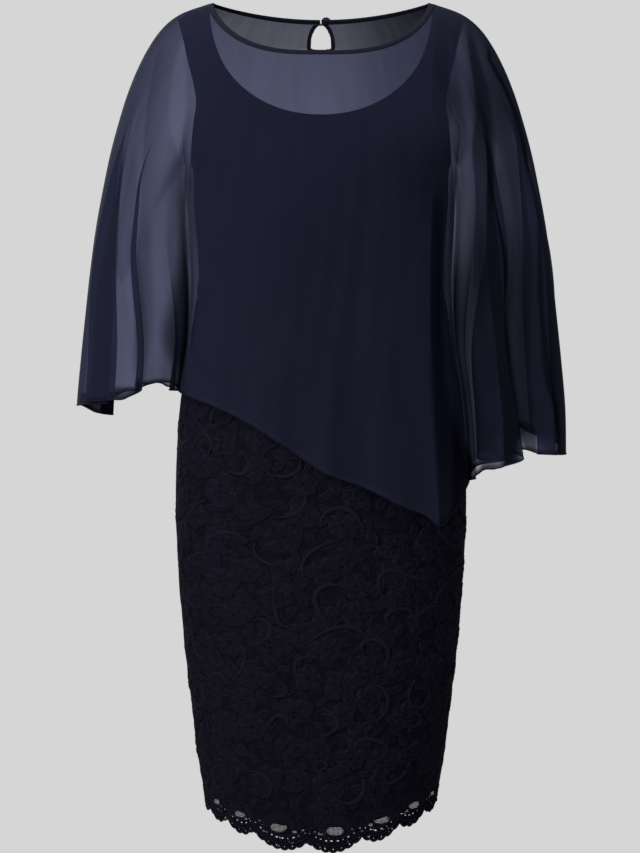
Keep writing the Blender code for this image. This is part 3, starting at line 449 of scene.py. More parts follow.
def ripple(seed: int, waves: int, places: Array, longest: float, shortest: float) -> Array:
    """Smooth wandering numbers made of a few sine waves.

    Args:
        seed: number that fixes the waves.
        waves: how many sine waves are summed.
        places: where to read, in metres.
        longest: longest wavelength in metres.
        shortest: shortest wavelength in metres.

    Returns:
        Values that mostly lie between -1 and 1.
    """
    rng = np.random.default_rng(seed)
    lengths = np.exp(rng.uniform(math.log(shortest), math.log(longest), waves))
    phases = rng.uniform(0.0, 2 * math.pi, waves)
    total = np.zeros_like(np.asarray(places, float))
    for length, phase in zip(lengths, phases):
        total = total + np.sin(2 * math.pi * places / length + phase)
    return total / math.sqrt(waves)


def run_length(path: Array) -> Array:
    """Length along a path up to each of its points."""
    steps = np.linalg.norm(np.diff(path, axis=0), axis=1)
    return np.concatenate([[0.0], np.cumsum(steps)])


def resampled(path: Array, step: float) -> Array:
    """The same path with evenly spaced points.

    Args:
        path: places along it.
        step: about how far apart the new points are.

    Returns:
        The new places.
    """
    length = run_length(path)
    at = np.linspace(0.0, length[-1], max(3, int(length[-1] / step) + 1))
    return np.stack([np.interp(at, length, path[:, k]) for k in range(path.shape[1])], axis=1)


def inside(places: Array, outline: Array) -> Array:
    """Which places lie inside a closed outline.

    Args:
        places: N by 2 places.
        outline: M by 2 corners in order.

    Returns:
        N true or false values.
    """
    within = np.zeros(len(places), bool)
    ends = np.roll(outline, -1, axis=0)
    for (ax, az), (bx, bz) in zip(outline, ends):
        if az == bz:
            continue
        crosses = (az > places[:, 1]) != (bz > places[:, 1])
        at = ax + (places[:, 1] - az) * (bx - ax) / (bz - az)
        within ^= crosses & (places[:, 0] < at)
    return within


def scattered(
    rng: np.random.Generator, half: float, low: float, high: float, room: float, tries: int
) -> list:
    """Places scattered with at least some room between them.

    Args:
        rng: source of the draws.
        half: half-width of the field.
        low: lowest height.
        high: greatest height.
        room: smallest distance between places.
        tries: number of draws.

    Returns:
        The places that were kept.
    """
    drawn = np.stack([rng.uniform(-half, half, tries), rng.uniform(low, high, tries)], axis=1)
    kept = np.empty((0, 2))
    for place in drawn:
        if len(kept) == 0 or ((kept - place) ** 2).sum(axis=1).min() > room * room:
            kept = np.vstack([kept, place])
    return [(float(x), float(z)) for x, z in kept]


def torso_point(angle: Array, z: Array, side: Side, outward: float | Array) -> Array:
    """Point on the torso form.

    Args:
        angle: from -90 degrees at the left side to 90 at the right, in radians.
        z: height.
        side: front or back.
        outward: distance out from the form.

    Returns:
        Points with x, y and z last.
    """
    half = column(GIRTHS, "z", "half_width", z) + outward
    depth = column(GIRTHS, "z", side.word, z) + outward
    across = np.sin(angle)
    x = half * np.sign(across) * np.abs(across) ** (2 / TORSO_ROUND)
    y = side.value * (depth * np.abs(np.cos(angle)) ** (2 / TORSO_ROUND) + SEAM / 2)
    return np.stack(np.broadcast_arrays(x, y, z), axis=-1)


def torso_angle(x: Array, z: Array) -> Array:
    """Angle whose torso point lies at x."""
    share = np.clip(np.abs(x) / column(GIRTHS, "z", "half_width", z), 0.0, 1.0)
    return np.sign(x) * np.arcsin(share ** (TORSO_ROUND / 2))


# Meshes


@dataclass
class Cloth:
    """Points and faces of one piece before it becomes an object.

    Attributes:
        points: N by 3 array of places.
        faces: corner numbers of each face.
        uvs: N by 2 array in metres along and down the cloth.
        layers: how many layers of cloth each point stands for, one where it isn't given; on the
            lace net, how closely it is worked, and on lace petals and bands, the share of painted
            light on their raised parts.
    """

    points: Array
    faces: list
    uvs: Array
    layers: Array | None = None

    def __post_init__(self) -> None:
        """Counts one layer of cloth where nothing is said."""
        if self.layers is None:
            self.layers = np.ones(len(self.points))

    @staticmethod
    def joined(parts: Sequence["Cloth"]) -> "Cloth":
        """All parts as one piece.

        Args:
            parts: the pieces.

        Returns:
            One piece with the parts' faces renumbered.
        """
        faces: list = []
        start = 0
        for part in parts:
            faces += [tuple(start + i for i in face) for face in part.faces]
            start += len(part.points)
        return Cloth(
            np.concatenate([part.points for part in parts]),
            faces,
            np.concatenate([part.uvs for part in parts]),
            np.concatenate([part.layers for part in parts]),
        )

    def placed(
        self, name: str, material: bpy.types.Material, node: str, replaced: Sequence[str] = ()
    ) -> bpy.types.Object:
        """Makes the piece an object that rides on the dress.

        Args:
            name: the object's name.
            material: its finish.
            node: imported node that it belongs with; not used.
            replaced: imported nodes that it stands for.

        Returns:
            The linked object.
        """
        mesh = bpy.data.meshes.new(name)
        mesh.from_pydata(self.points.tolist(), [], self.faces)
        corner = np.empty(len(mesh.loops), dtype=np.int32)
        mesh.loops.foreach_get("vertex_index", corner)
        uvs = np.ascontiguousarray(self.uvs[corner], float).ravel()
        mesh.uv_layers.new(name="cloth").uv.foreach_set("vector", uvs)
        count = np.ascontiguousarray(self.layers, np.float32)
        mesh.attributes.new("layers", "FLOAT", "POINT").data.foreach_set("value", count)
        mesh.materials.append(material)
        mesh.shade_smooth()
        mesh.update()
        made = bpy.data.objects.new(name, mesh)
        bpy.context.scene.collection.objects.link(made)
        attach(made, "root")
        if replaced:
            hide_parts(*replaced)
        return made


def grid_faces(rows: int, columns: int, closed: bool = False) -> list:
    """Quads of a grid whose points run row by row.

    Args:
        rows: number of rows.
        columns: number of points in a row.
        closed: whether each row joins up into a ring.

    Returns:
        Corner numbers of each quad.
    """
    last = columns if closed else columns - 1
    i, j = np.meshgrid(np.arange(rows - 1), np.arange(last), indexing="ij")
    k = (j + 1) % columns
    quads = np.stack(
        [i * columns + j, i * columns + k, (i + 1) * columns + k, (i + 1) * columns + j], axis=-1
    )
    return [tuple(quad) for quad in quads.reshape(-1, 4).tolist()]


def grid_cloth(grid: Array, layers: Array | None = None) -> Cloth:
    """A panel on a grid of points, with uvs measured along the cloth.

    Args:
        grid: rows by columns by 3 places.
        layers: rows by columns layer counts.

    Returns:
        The panel.
    """
    rows, columns = grid.shape[:2]
    across = np.linalg.norm(np.diff(grid, axis=1), axis=-1)
    down = np.linalg.norm(np.diff(grid, axis=0), axis=-1)
    u = np.concatenate([[0.0], np.cumsum(across.mean(axis=0))])
    v = np.concatenate([[0.0], np.cumsum(down.mean(axis=1))])
    uvs = np.stack(np.broadcast_arrays(u[None, :], v[:, None]), axis=-1)
    flat = None if layers is None else layers.reshape(-1)
    return Cloth(grid.reshape(-1, 3), grid_faces(rows, columns), uvs.reshape(-1, 2), flat)


def square_to(path: Array) -> tuple[Array, Array]:
    """Directions square to a path that don't twist along it.

    Args:
        path: N by 3 places.

    Returns:
        Two unit directions across the path at each place.
    """
    tiny = 1e-12
    along = np.gradient(path, axis=0)
    along /= np.maximum(np.linalg.norm(along, axis=1, keepdims=True), tiny)
    side = np.empty_like(along)
    first = np.cross(along[0], [0.0, 0.0, 1.0])
    if np.linalg.norm(first) < 1e-6:
        first = np.cross(along[0], [0.0, 1.0, 0.0])
    side[0] = first / np.linalg.norm(first)
    for i in range(1, len(path)):
        moved = side[i - 1] - along[i] * np.dot(side[i - 1], along[i])
        side[i] = moved / max(np.linalg.norm(moved), tiny)
    return side, np.cross(along, side)


def tube(path: Array, radius: float, corners: int, flat: float = 1.0) -> Cloth:
    """A round or flattened roll of cloth or thread along a path.

    Args:
        path: N by 3 places.
        radius: its radius.
        corners: number of sides.
        flat: thickness across as a share of its width.

    Returns:
        The roll, open at both ends.
    """
    side, up = square_to(path)
    turns = np.linspace(0.0, 2 * math.pi, corners, endpoint=False)[None, :, None]
    ring = np.cos(turns) * side[:, None] + flat * np.sin(turns) * up[:, None]
    points = path[:, None] + radius * ring
    around = np.linspace(0.0, ROLL_CLOTH, corners, endpoint=False)
    uvs = np.stack(np.broadcast_arrays(run_length(path)[:, None], around[None, :]), axis=-1)
    return Cloth(points.reshape(-1, 3), grid_faces(len(path), corners, True), uvs.reshape(-1, 2))


# Shader graph


class Graph:
    """The nodes of one material or of the surroundings, added by expressions."""

    def __init__(self, owner: bpy.types.Material | bpy.types.World) -> None:
        """Starts from the nodes that the owner comes with."""
        owner.use_nodes = True
        self.tree = owner.node_tree
        self.shader = self.tree.nodes.get("Principled BSDF")

    def node(
        self,
        kind: str,
        settings: dict | None = None,
        inputs: dict | None = None,
        output: int | str = 0,
    ) -> "Value":
        """Adds one node.

        Args:
            kind: the node's type name.
            settings: the node's own settings, such as its operation.
            inputs: values or links of its sockets by name or number.
            output: which socket the result is read from.

        Returns:
            The node's output.
        """
        made = self.tree.nodes.new(kind)
        for name, value in (settings or {}).items():
            setattr(made, name, value)
        for name, value in (inputs or {}).items():
            self.feed(made.inputs[name], value)
        return Value(self, made.outputs[output])

    def feed(self, socket: bpy.types.NodeSocket, value: object) -> None:
        """Links a value to a socket or sets a constant on it.

        Args:
            socket: the socket.
            value: a link or a constant.
        """
        if isinstance(value, Value):
            self.tree.links.new(value.socket, socket)
        else:
            socket.default_value = value

    def set(self, name: str, value: object) -> None:
        """Feeds one socket of the Principled shader."""
        self.feed(self.shader.inputs[name], value)

    def shown(self, shader: "Value") -> None:
        """Makes a shader the one that is seen."""
        end = next(node for node in self.tree.nodes if node.type.startswith("OUTPUT"))
        self.tree.links.new(shader.socket, end.inputs["Surface"])

    def mix(self, share: object, low: object, high: object) -> "Value":
        """Mixes two colours by a share."""
        sockets = {0: share, 6: opaque(low), 7: opaque(high)}
        return self.node("ShaderNodeMix", {"data_type": "RGBA"}, sockets, 2)

    def uv(self) -> "Value":
        """Places on the cloth in metres."""
        return self.node("ShaderNodeUVMap", {"uv_map": "cloth"})

    def scaled(self, vector: "Value", scale: tuple[float, float, float]) -> "Value":
        """The vector multiplied by a number on each axis."""
        return self.node("ShaderNodeVectorMath", {"operation": "MULTIPLY"}, {0: vector, 1: scale})

    def noise(self, vector: "Value", scale: float, detail: float = 2.0) -> "Value":
        """Soft noise from 0 to 1."""
        inputs = {"Vector": vector, "Scale": scale, "Detail": detail, "Roughness": 0.55}
        return self.node("ShaderNodeTexNoise", {}, inputs)

    def cells(self, vector: "Value", feature: str, width: float, inputs: dict) -> "Value":
        """Distances in a flat pattern of cells of a width in metres."""
        sockets = {"Vector": vector, "Scale": 1.0 / width, **inputs}
        flat = {"feature": feature, "voronoi_dimensions": "2D"}
        return self.node("ShaderNodeTexVoronoi", flat, sockets)

    def layers(self) -> "Value":
        """Number of layers of cloth at each place, or on lace thread the share of painted light on
        its raised parts.
        """
        return self.node("ShaderNodeAttribute", {"attribute_name": "layers"}, {}, "Fac")

    def facing(self) -> "Value":
        """0 where the cloth faces the eye and 1 where it is seen edge on."""
        return self.node("ShaderNodeLayerWeight", {}, {}, "Facing")

    def veil(self, cover: "Value", tint: Colour) -> None:
        """Lets tinted light by wherever the cloth doesn't cover.

        Args:
            cover: share of the surface that the threads cover.
            tint: colour of the light that comes through.
        """
        clear = self.node("ShaderNodeBsdfTransparent", {}, {"Color": opaque(tint)})
        cloth = Value(self, self.shader.outputs[0])
        self.shown(self.node("ShaderNodeMixShader", {}, {0: cover, 1: clear, 2: cloth}))

    def paint(self, colour: object, rough: object, gloss: float) -> None:
        """Sets what every finish of the dress has.

        Args:
            colour: the cloth's colour.
            rough: how matt it is.
            gloss: its specular level.
        """
        self.set("Base Color", colour)
        self.set("Roughness", rough)
        self.set("Specular IOR Level", gloss)

    def bump(self, height: "Value", distance: float, strength: float) -> None:
        """Raises the surface by a height map."""
        inputs = {"Height": height, "Distance": distance, "Strength": strength}
        self.set("Normal", self.node("ShaderNodeBump", {}, inputs))


def opaque(colour: object) -> object:
    """A colour with alpha 1, or a link left as it is."""
    return colour if isinstance(colour, Value) else (*colour, 1.0)


class Value:
    """A node's output that takes part in expressions."""

    def __init__(self, graph: Graph, socket: bpy.types.NodeSocket) -> None:
        """Wraps a socket of a graph."""
        self.graph = graph
        self.socket = socket

    def math(self, operation: str, first: object, second: object, clamp: bool = False) -> "Value":
        """Adds one Math node that works on two numbers or links, and may clamp its result."""
        settings = {"operation": operation, "use_clamp": clamp}
        return self.graph.node("ShaderNodeMath", settings, {0: first, 1: second})

    def __add__(self, other: object) -> "Value":
        """Sum."""
        return self.math("ADD", self, other)

    __radd__ = __add__

    def __mul__(self, other: object) -> "Value":
        """Product."""
        return self.math("MULTIPLY", self, other)

    __rmul__ = __mul__

    def __sub__(self, other: object) -> "Value":
        """Difference."""
        return self.math("SUBTRACT", self, other)

    def __rsub__(self, other: object) -> "Value":
        """Difference from a number."""
        return self.math("SUBTRACT", other, self)

    def __truediv__(self, other: object) -> "Value":
        """Quotient."""
        return self.math("DIVIDE", self, other)

    def __rpow__(self, other: object) -> "Value":
        """A number to this power."""
        return self.math("POWER", other, self)

    def sine(self) -> "Value":
        """Sine, as 0 to 1."""
        return self.math("SINE", self, 0.0) * 0.5 + 0.5

    def wave(self, pitch: float) -> "Value":
        """Sine wave of a pitch in metres along this place, as 0 to 1."""
        return (self * (2 * math.pi / pitch)).sine()

    def step(self, low: float, high: float) -> "Value":
        """0 below low, 1 above high and straight in between."""
        return self.math("MULTIPLY", self - low, 1.0 / (high - low), True)

    def uneven(self, spread: float) -> "Value":
        """A factor that wanders round 1 by a spread."""
        return 1.0 - spread / 2 + self * spread

    def part(self, axis: str) -> "Value":
        """One number of a vector."""
        return self.graph.node("ShaderNodeSeparateXYZ", {}, {0: self}, axis)


# Finishes


class Finish(ABC):
    """A finish of cloth or thread: its colour in shade and in the light, and its gloss."""

    @abstractmethod
    def dress(self, graph: Graph) -> None:
        """Sets up the material's shader."""

    def made(self, name: str) -> bpy.types.Material:
        """The finish as a material.

        Args:
            name: the material's name.

        Returns:
            The material.
        """
        material = bpy.data.materials.new(name)
        self.dress(Graph(material))
        return material


@dataclass(frozen=True)
class Chiffon(Finish):
    """Sheer crepe chiffon.

    Attributes:
        painted_shade: painted shade colour of the thread where many layers bunch in the folds.
        unshaded_count: layers up to which the thread keeps its colour.
        full_shade_count: layers from which it is as dark as the painted shade colour.
        through: share of light that one layer lets by.
        tint: colour of the light that comes through.
        thread: width of one crepe grain in metres.
        slubs: slubs in a metre across and down.
        bands: soft hanging bands in a metre across and down.
        edge_gain: how much denser the cloth is seen edge on.
    """

    colour: Colour = (0.016, 0.018, 0.037)
    light: Colour = (0.0215, 0.0243, 0.05)
    painted_shade: Colour = (0.003, 0.0033, 0.008)
    unshaded_count: float = 1.45
    full_shade_count: float = 3.9
    through: float = 0.41
    tint: Colour = (0.77, 0.8, 1.0)
    thread: float = 0.0011
    slubs: tuple[float, float, float] = (160.0, 11.0, 1.0)
    bands: tuple[float, float, float] = (48.0, 7.0, 1.0)
    edge_gain: float = 0.78
    gloss: float = 0.04

    def dress(self, graph: Graph) -> None:
        """Sheer cover that grows with the layers, over crepe grain, slubs and soft bands, with
        painted shade where the layers bunch up.

        Args:
            graph: the material's nodes.
        """
        uv = graph.uv()
        crepe = graph.noise(uv, 1.0 / self.thread, 1.0)
        slub = graph.noise(graph.scaled(uv, self.slubs), 1.0)
        band = graph.noise(graph.scaled(uv, self.bands), 1.0)
        cloud = graph.noise(uv, 14.0)
        count = graph.layers() / (1.0 - graph.facing() * self.edge_gain)
        count = count * slub.uneven(0.1) * band.uneven(0.28) * crepe.uneven(0.08)
        graph.veil(1.0 - self.through**count, self.tint)
        thread = graph.mix(crepe * 0.6 + cloud * 0.4, self.colour, self.light)
        # painted shade: the thread darkens towards the shade colour as the layer count rises in
        # folds and bunched bands
        painted_shade_share = graph.layers().step(self.unshaded_count, self.full_shade_count)
        graph.paint(graph.mix(painted_shade_share, thread, self.painted_shade), 0.62 + crepe * 0.18, self.gloss)
        graph.bump(crepe * 0.6 + slub * 0.4, 0.00035, 0.5)


@dataclass(frozen=True)
class Jersey(Finish):
    """Opaque fine-knit jersey.

    Attributes:
        stitch: width of one knitted wale in metres.
        course: height of a stitch as a share of its width.
    """

    colour: Colour = (0.008, 0.009, 0.019)
    light: Colour = (0.0115, 0.0128, 0.026)
    stitch: float = 0.0009
    course: float = 1.4
    gloss: float = 0.1

    def dress(self, graph: Graph) -> None:
        """Knitted ribs with soft clouds of wear.

        Args:
            graph: the material's nodes.
        """
        uv = graph.uv()
        wale = uv.part("X").wave(self.stitch)
        knit = wale * 0.6 + uv.part("Y").wave(self.stitch * self.course) * 0.4
        cloud = graph.noise(uv, 22.0, 3.0)
        yarn = graph.mix(knit * 0.5 + cloud * 0.5, self.colour, self.light)
        graph.paint(yarn, 0.74 + cloud * 0.14, self.gloss)
        graph.bump(knit, 0.00025, 0.5)


@dataclass(frozen=True)
class LaceThread(Finish):
    """Matt cotton thread of the raised motifs.

    Attributes:
        nick: shade in the small nicks between threads.
        thread: pitch of the threads in metres.
    """

    colour: Colour = (0.0034, 0.0029, 0.0064)
    light: Colour = (0.0142, 0.0125, 0.0245)
    nick: Colour = (0.001, 0.0009, 0.0018)
    thread: float = 0.0012
    gloss: float = 0.06

    def dress(self, graph: Graph) -> None:
        """Wandering rows of thread, with painted light on the raised ribs and painted shade at
        their edges, and dark nicks.

        Args:
            graph: the material's nodes.
        """
        uv = graph.uv()
        along = uv.part("X") * (2 * math.pi / self.thread)
        wander = graph.noise(uv, 300.0, 1.0)
        rows = (along + wander * 4.0).sine()
        cloud = graph.noise(uv, 60.0)
        # painted light on the raised rims and bands, painted shade at the motifs' edges
        painted_relief_light = graph.layers().step(0.0, 1.0)
        nicks = graph.noise(uv, 150.0, 1.0).step(0.62, 0.69)
        thread = graph.mix(painted_relief_light * 0.5 + rows * 0.12 + cloud * 0.36, self.colour, self.light)
        graph.paint(graph.mix(nicks * 0.75, thread, self.nick), 0.68 + cloud * 0.2, self.gloss)
        graph.bump(rows * 0.5 + wander * 0.5, 0.0004, 0.6)


@dataclass(frozen=True)
class Net(Finish):
    """Fine net closely filled with clothwork, open in windows and in small gaps.

    Attributes:
        mesh: width of one hole in metres.
        thread: half-width of a thread as a share of a hole.
        work: width of one patch of clothwork in metres.
        gap: width of the patches that hold a gap, in metres.
        bend: how far the clothwork's patches are pulled about, in metres.
    """

    colour: Colour = (0.0024, 0.002, 0.0044)
    light: Colour = (0.0084, 0.0073, 0.015)
    mesh: float = 0.0015
    thread: float = 0.25
    work: float = 0.0085
    gap: float = 0.0062
    bend: float = 0.012
    gloss: float = 0.06

    def dress(self, graph: Graph) -> None:
        """Net threads and patches of clothwork that cover all but the windows and gaps.

        Args:
            graph: the material's nodes.
        """
        uv = graph.uv()
        web = graph.cells(uv, "DISTANCE_TO_EDGE", self.mesh, {"Randomness": 0.35})
        threads = 1.0 - web.step(self.thread * 0.7, self.thread * 1.5)
        gaps = graph.noise(uv, 1.0 / self.gap, 1.0).step(0.66, 0.7)
        solid = graph.layers().step(0.35, 0.65) * (1.0 - gaps)
        turned = {"Vector": uv, "Scale": 70.0, "Detail": 1.0}
        swirl = graph.node("ShaderNodeTexNoise", {}, turned, "Color")
        pulled = {0: swirl, 1: (self.bend,) * 3, 2: uv}
        bent = graph.node("ShaderNodeVectorMath", {"operation": "MULTIPLY_ADD"}, pulled)
        patch = graph.cells(bent, "SMOOTH_F1", self.work, {"Smoothness": 0.35})
        cloud = graph.noise(uv, 90.0)
        graph.set("Alpha", threads.math("MAXIMUM", threads, solid))
        thread = graph.mix(cloud * 0.6 + patch * 0.5, self.colour, self.light)
        graph.paint(thread, 0.72 + cloud * 0.16, self.gloss)
        graph.bump(patch * 1.6 + cloud * 0.5 + threads * 0.15, 0.0012, 0.8)


@dataclass(frozen=True)
class Bias(Finish):
    """Doubled chiffon cut on the bias, for bindings and rolled hems.

    Attributes:
        stitch: pitch of the stitching in metres.
        slubs: slubs in a metre along and across the roll.
    """

    colour: Colour = (0.007, 0.0076, 0.018)
    light: Colour = (0.0112, 0.0122, 0.027)
    stitch: float = 0.0032
    slubs: tuple[float, float, float] = (180.0, 60.0, 1.0)
    gloss: float = 0.12

    def dress(self, graph: Graph) -> None:
        """Fine weave drawn in by a row of stitches.

        Args:
            graph: the material's nodes.
        """
        uv = graph.uv()
        weave = graph.noise(uv, 900.0, 1.0)
        dash = uv.part("X").wave(self.stitch).step(0.35, 0.75)
        cloud = graph.noise(graph.scaled(uv, self.slubs), 1.0)
        thread = graph.mix(weave * 0.3 + cloud * 0.4 + dash * 0.3, self.colour, self.light)
        graph.paint(thread, 0.6 + weave * 0.2, self.gloss)
        graph.bump(weave * 0.4 + dash * 0.6, 0.0004, 0.6)


@dataclass(frozen=True)
class Covered(Finish):
    """Cloth-covered button with a soft gloss."""

    colour: Colour = (0.016, 0.017, 0.03)
    light: Colour = (0.05, 0.052, 0.07)
    matt: float = 0.32
    gloss: float = 0.5

    def dress(self, graph: Graph) -> None:
        """Close weave stretched over a hard shell.

        Args:
            graph: the material's nodes.
        """
        place = graph.node("ShaderNodeTexCoord", {}, {}, "Object")
        weave = graph.noise(place, 1800.0, 1.0)
        cloth = graph.mix(weave, self.colour, self.light)
        graph.paint(cloth, self.matt + weave * 0.15, self.gloss)
        graph.bump(weave, 0.0002, 0.4)


# Cape


@dataclass
class Cape:
    """Sheer overlay with a boat neck, wide open sleeves and a slanting hem.

    Its places are given by a share across, from -1 at the left overarm to 1 at the right one,
    and a share down from the neck. Shares between body_share and 1 lie on a sleeve.
    """

    neck_half: float = 0.1285
    neck_drop_front: float = 0.062
    neck_drop_back: float = 0.016
    neck_band: float = 0.005
    neck_tuck: float = 0.0012
    body_share: float = 0.5
    split_top: float = -0.135
    split_full: float = -0.25
    fan: float = 0.2
    cape_round: float = 2.2
    body_round: float = 2.5
    sleeve_round: float = 2.2
    crease_soft: float = 0.01
    crease_floor: float = 0.94
    crease_reach: float = 1.03
    crease_square: int = 5
    crease_line: float = 0.9
    crease_starts: float = -0.19
    crease_full: float = -0.34
    fold_growth: float = 0.34
    lean_height: float = -0.3
    spread_top: float = 0.55
    spread_starts: float = -0.28
    spread_ends: float = -0.47
    wave_count: float = 2.5
    wave_turn: float = 0.7
    wave_depth: float = 0.004
    wave_starts: float = -0.35
    wave_full: float = -0.62
    facing: float = 0.95
    facing_right: float = 1.0
    facing_rise: float = 0.0125
    facing_reach: float = 0.965
    shaded: float = 0.45
    shade_full: float = -0.12
    shade_ends: float = -0.2
    thinnest: float = 0.5
    gathered: float = 1.45
    gathered_starts: float = -0.02
    gathered_full: float = -0.12
    turn_soft: float = 0.12
    hem_turned: float = 0.9
    hem_fold: float = 0.005
    hem_fold_full: float = 0.003
    rows: int = 200
    sleeve_columns: int = 120
    body_columns: int = 110
    line_points: int = 400
    roll_corners: int = 6
    hem_radius: float = 0.0009
    seam_radius: float = 0.0012
    seam_flat: float = 0.7
    cut_front: float = 1.12
    cut_back: float = 1.16
    cut_length: float = 0.62
    cut_depth: float = 0.494

    def __post_init__(self) -> None:
        """Works out the overarm line once."""
        line = np.array(OVERARM)
        length = run_length(line)
        at = np.linspace(0.0, length[-1], self.line_points)
        self.line_z = through(length, line[:, 0], at)
        self.line_x = through(length, line[:, 1], at)
        self.line_length = run_length(np.stack([self.line_x, self.line_z], axis=1))

    def half_width(self, z: Array) -> Array:
        """Half-width of the cape at a height."""
        return np.interp(-np.asarray(z, float), -self.line_z, self.line_x)

    def shoulder_height(self, x: Array) -> Array:
        """Height of the shoulder line above x."""
        return np.interp(np.asarray(x, float), self.line_x, self.line_z)

    def sleeve_share(self, across: Array) -> Array:
        """Share across a sleeve, from the side seam (0) to the overarm (1)."""
        return np.clip((across - self.body_share) / (1.0 - self.body_share), 0.0, 1.0)

    def neckline(self, share: Array, side: Side, inset: float) -> tuple[Array, Array]:
        """Neck edge moved down into the cloth.

        Args:
            share: from -1 at the left neck point to 1 at the right one.
            side: front or back.
            inset: distance moved down from the edge.

        Returns:
            x and z of the edge.
        """
        share = np.asarray(share, float)
        half = self.neck_half + inset
        top = float(self.shoulder_height(half))
        turn = np.radians(90.0) * np.abs(share)
        if side is Side.FRONT:
            x = half * np.sin(turn) ** (2 / 3)
            fall = np.clip(np.cos(turn), 0.0, 1.0) ** (4 / 3)
            drop = self.neck_drop_front + inset + top
        else:
            x = half * np.sin(turn)
            fall = np.cos(turn) ** 2
            drop = self.neck_drop_back + inset + top
        return np.sign(share) * x, top - drop * fall

    def depth(self, x: Array, z: Array, side: Side, right: bool) -> Array:
        """Distance of the unfolded cape from the side line.

        Args:
            x: distance from the centre, at least 0.
            z: height.
            side: front or back.
            right: whether it is the viewer's right half.

        Returns:
            The distance in front of or behind the side line.
        """
        z = np.asarray(z, float)
        half = self.half_width(z)
        depth = column(CAPE_DEPTHS, "z", side.word, z)
        bulge = column(CAPE_DEPTHS, "z", "sleeve_" + side.word, z)
        over = np.clip(x / half, 0.0, 1.0)
        dome = depth * (1.0 - over**self.cape_round) ** (1 / self.cape_round)
        seam = column(STITCHES, "z", "x", z)
        inner = np.clip(x / seam, 0.0, 1.0)
        body = depth * (1.0 - inner**self.body_round) ** (1 / self.body_round)
        if right and side is Side.FRONT:
            body = self.creased(body, x, z, depth, seam)
        along = np.clip((x - seam) / (half - seam), 0.0, 1.0)
        rounded = (1.0 - np.abs(2 * along - 1.0) ** self.sleeve_round) ** (1 / self.sleeve_round)
        split = smooth_step(-self.split_top, -self.split_full, -z)
        return dome + split * (np.where(x < seam, body, bulge * rounded) - dome)

    def creased(self, body: Array, x: Array, z: Array, depth: Array, seam: Array) -> Array:
        """The front panel kept forward as far as its crease, then led back to the side seam.

        Args:
            body: plain distance of the panel from the side line.
            x: distance from the centre.
            z: height.
            depth: distance at the centre.
            seam: distance of the side seam from the centre.

        Returns:
            The creased distance.
        """
        edge = column(CREASE, "z", "x", z)
        reached = np.clip(x / (seam * self.crease_reach), 0.0, 1.0)
        forward = depth * (1.0 - reached**self.crease_square) ** (1 / self.crease_square)
        back_line = self.crease_line * depth * (seam - x) / (seam - edge)
        low = np.clip(0.5 + 0.5 * (back_line - forward) / self.crease_soft, 0.0, 1.0)
        turned = back_line + low * (forward - back_line) - self.crease_soft * low * (1.0 - low) / 2
        share = smooth_step(-self.crease_starts, -self.crease_full, -z)
        return body + share * (np.maximum(turned, self.crease_floor * body) - body)

    def edge_drop(self, down: Array, hem_edge: Array, start: float) -> Array:
        """How the overarm falls with the share of its length.

        Args:
            down: shares of its length, from 0 to 1.
            hem_edge: height where it ends.
            start: height where it starts.

        Returns:
            The share of the fall that is reached.
        """
        first = np.interp(-start, -self.line_z, self.line_length)
        last = np.interp(-hem_edge, -self.line_z, self.line_length)
        z = np.interp(first + (last - first) * down, self.line_length, self.line_z)
        return (z - start) / (hem_edge - start)

    def spread_out(self, across: Array, z: Array) -> Array:
        """Distance from the centre of columns that fan out over the body and the sleeve.

        Args:
            across: share across, at least 0.
            z: height.

        Returns:
            The distance once the sleeve has parted from the body.
        """
        seam = column(STITCHES, "z", "x", z)
        gone = 1.0 - smooth_step(-self.spread_starts, -self.spread_ends, -z)
        spread = 1.0 - (1.0 - self.spread_top) * gone
        on_sleeve = seam + (self.half_width(z) - seam) * self.sleeve_share(across) ** spread
        return np.where(across < self.body_share, seam * across / self.body_share, on_sleeve)

    def points(self, share: Array, down: Array, side: Side) -> Array:
        """Places on the hanging cape.

        Args:
            share: across, from -1 at the left overarm to 1 at the right one.
            down: from the neck (0) to the hem (1).
            side: front or back.

        Returns:
            Rows by columns by 3 places.
        """
        share = np.asarray(share, float)[None, :]
        down = np.asarray(down, float)[:, None]
        right = share >= 0
        across = np.abs(share)
        inset = self.neck_band - self.neck_tuck
        top_x, top_z = self.neckline(share, side, inset)
        hem_z = column(HEMS, "share", side.word, share)
        hem_edge = np.where(right, HEMS[-1].front, HEMS[0].front)
        fall = self.edge_drop(down, hem_edge, float(self.shoulder_height(self.neck_half + inset)))
        fall = down + (fall - down) * across**2
        z = top_z + (hem_z - top_z) * fall
        half = self.half_width(z)
        start = np.clip(np.abs(top_x) / self.half_width(top_z), 0.0, 1.0)
        along = self.sleeve_share(across)
        blend = smooth_step(0.0, self.fan, top_z - z)
        x = half * (start + blend * (self.spread_out(across, z) / half - start))
        depth = np.where(right, self.depth(x, z, side, True), self.depth(x, z, side, False))
        inner = 1.0 - np.clip(across / self.body_share, 0.0, 1.0) ** 4
        turn = 2 * math.pi * self.wave_count * share / self.body_share + self.wave_turn
        waved = smooth_step(-self.wave_starts, -self.wave_full, -z) * inner
        depth = depth + self.wave_depth * np.sin(turn) * waved
        held = smooth_step(0.0, 0.08, along) * smooth_step(0.0, 0.05, 1.0 - along)
        soft = smooth_step(0.03, 0.3, -z) * np.where(along > 0, held, inner)
        depth = depth + self.ripples(share, z, side) * soft
        for half_dress, mask in ((Half.LEFT, ~right), (Half.RIGHT, right)):
            for fold in FOLDS[(side, half_dress)]:
                grown = smooth_step(-fold.start, self.fold_growth - fold.start, -z)
                centre = fold.centre + fold.lean * (self.lean_height - z)
                turn = math.pi * np.clip((along - centre) / fold.reach, -1.0, 1.0)
                run = np.sin(turn) * (1.0 + np.cos(turn)) / 2
                run = np.where(mask & (along > 0), run, 0.0) * grown
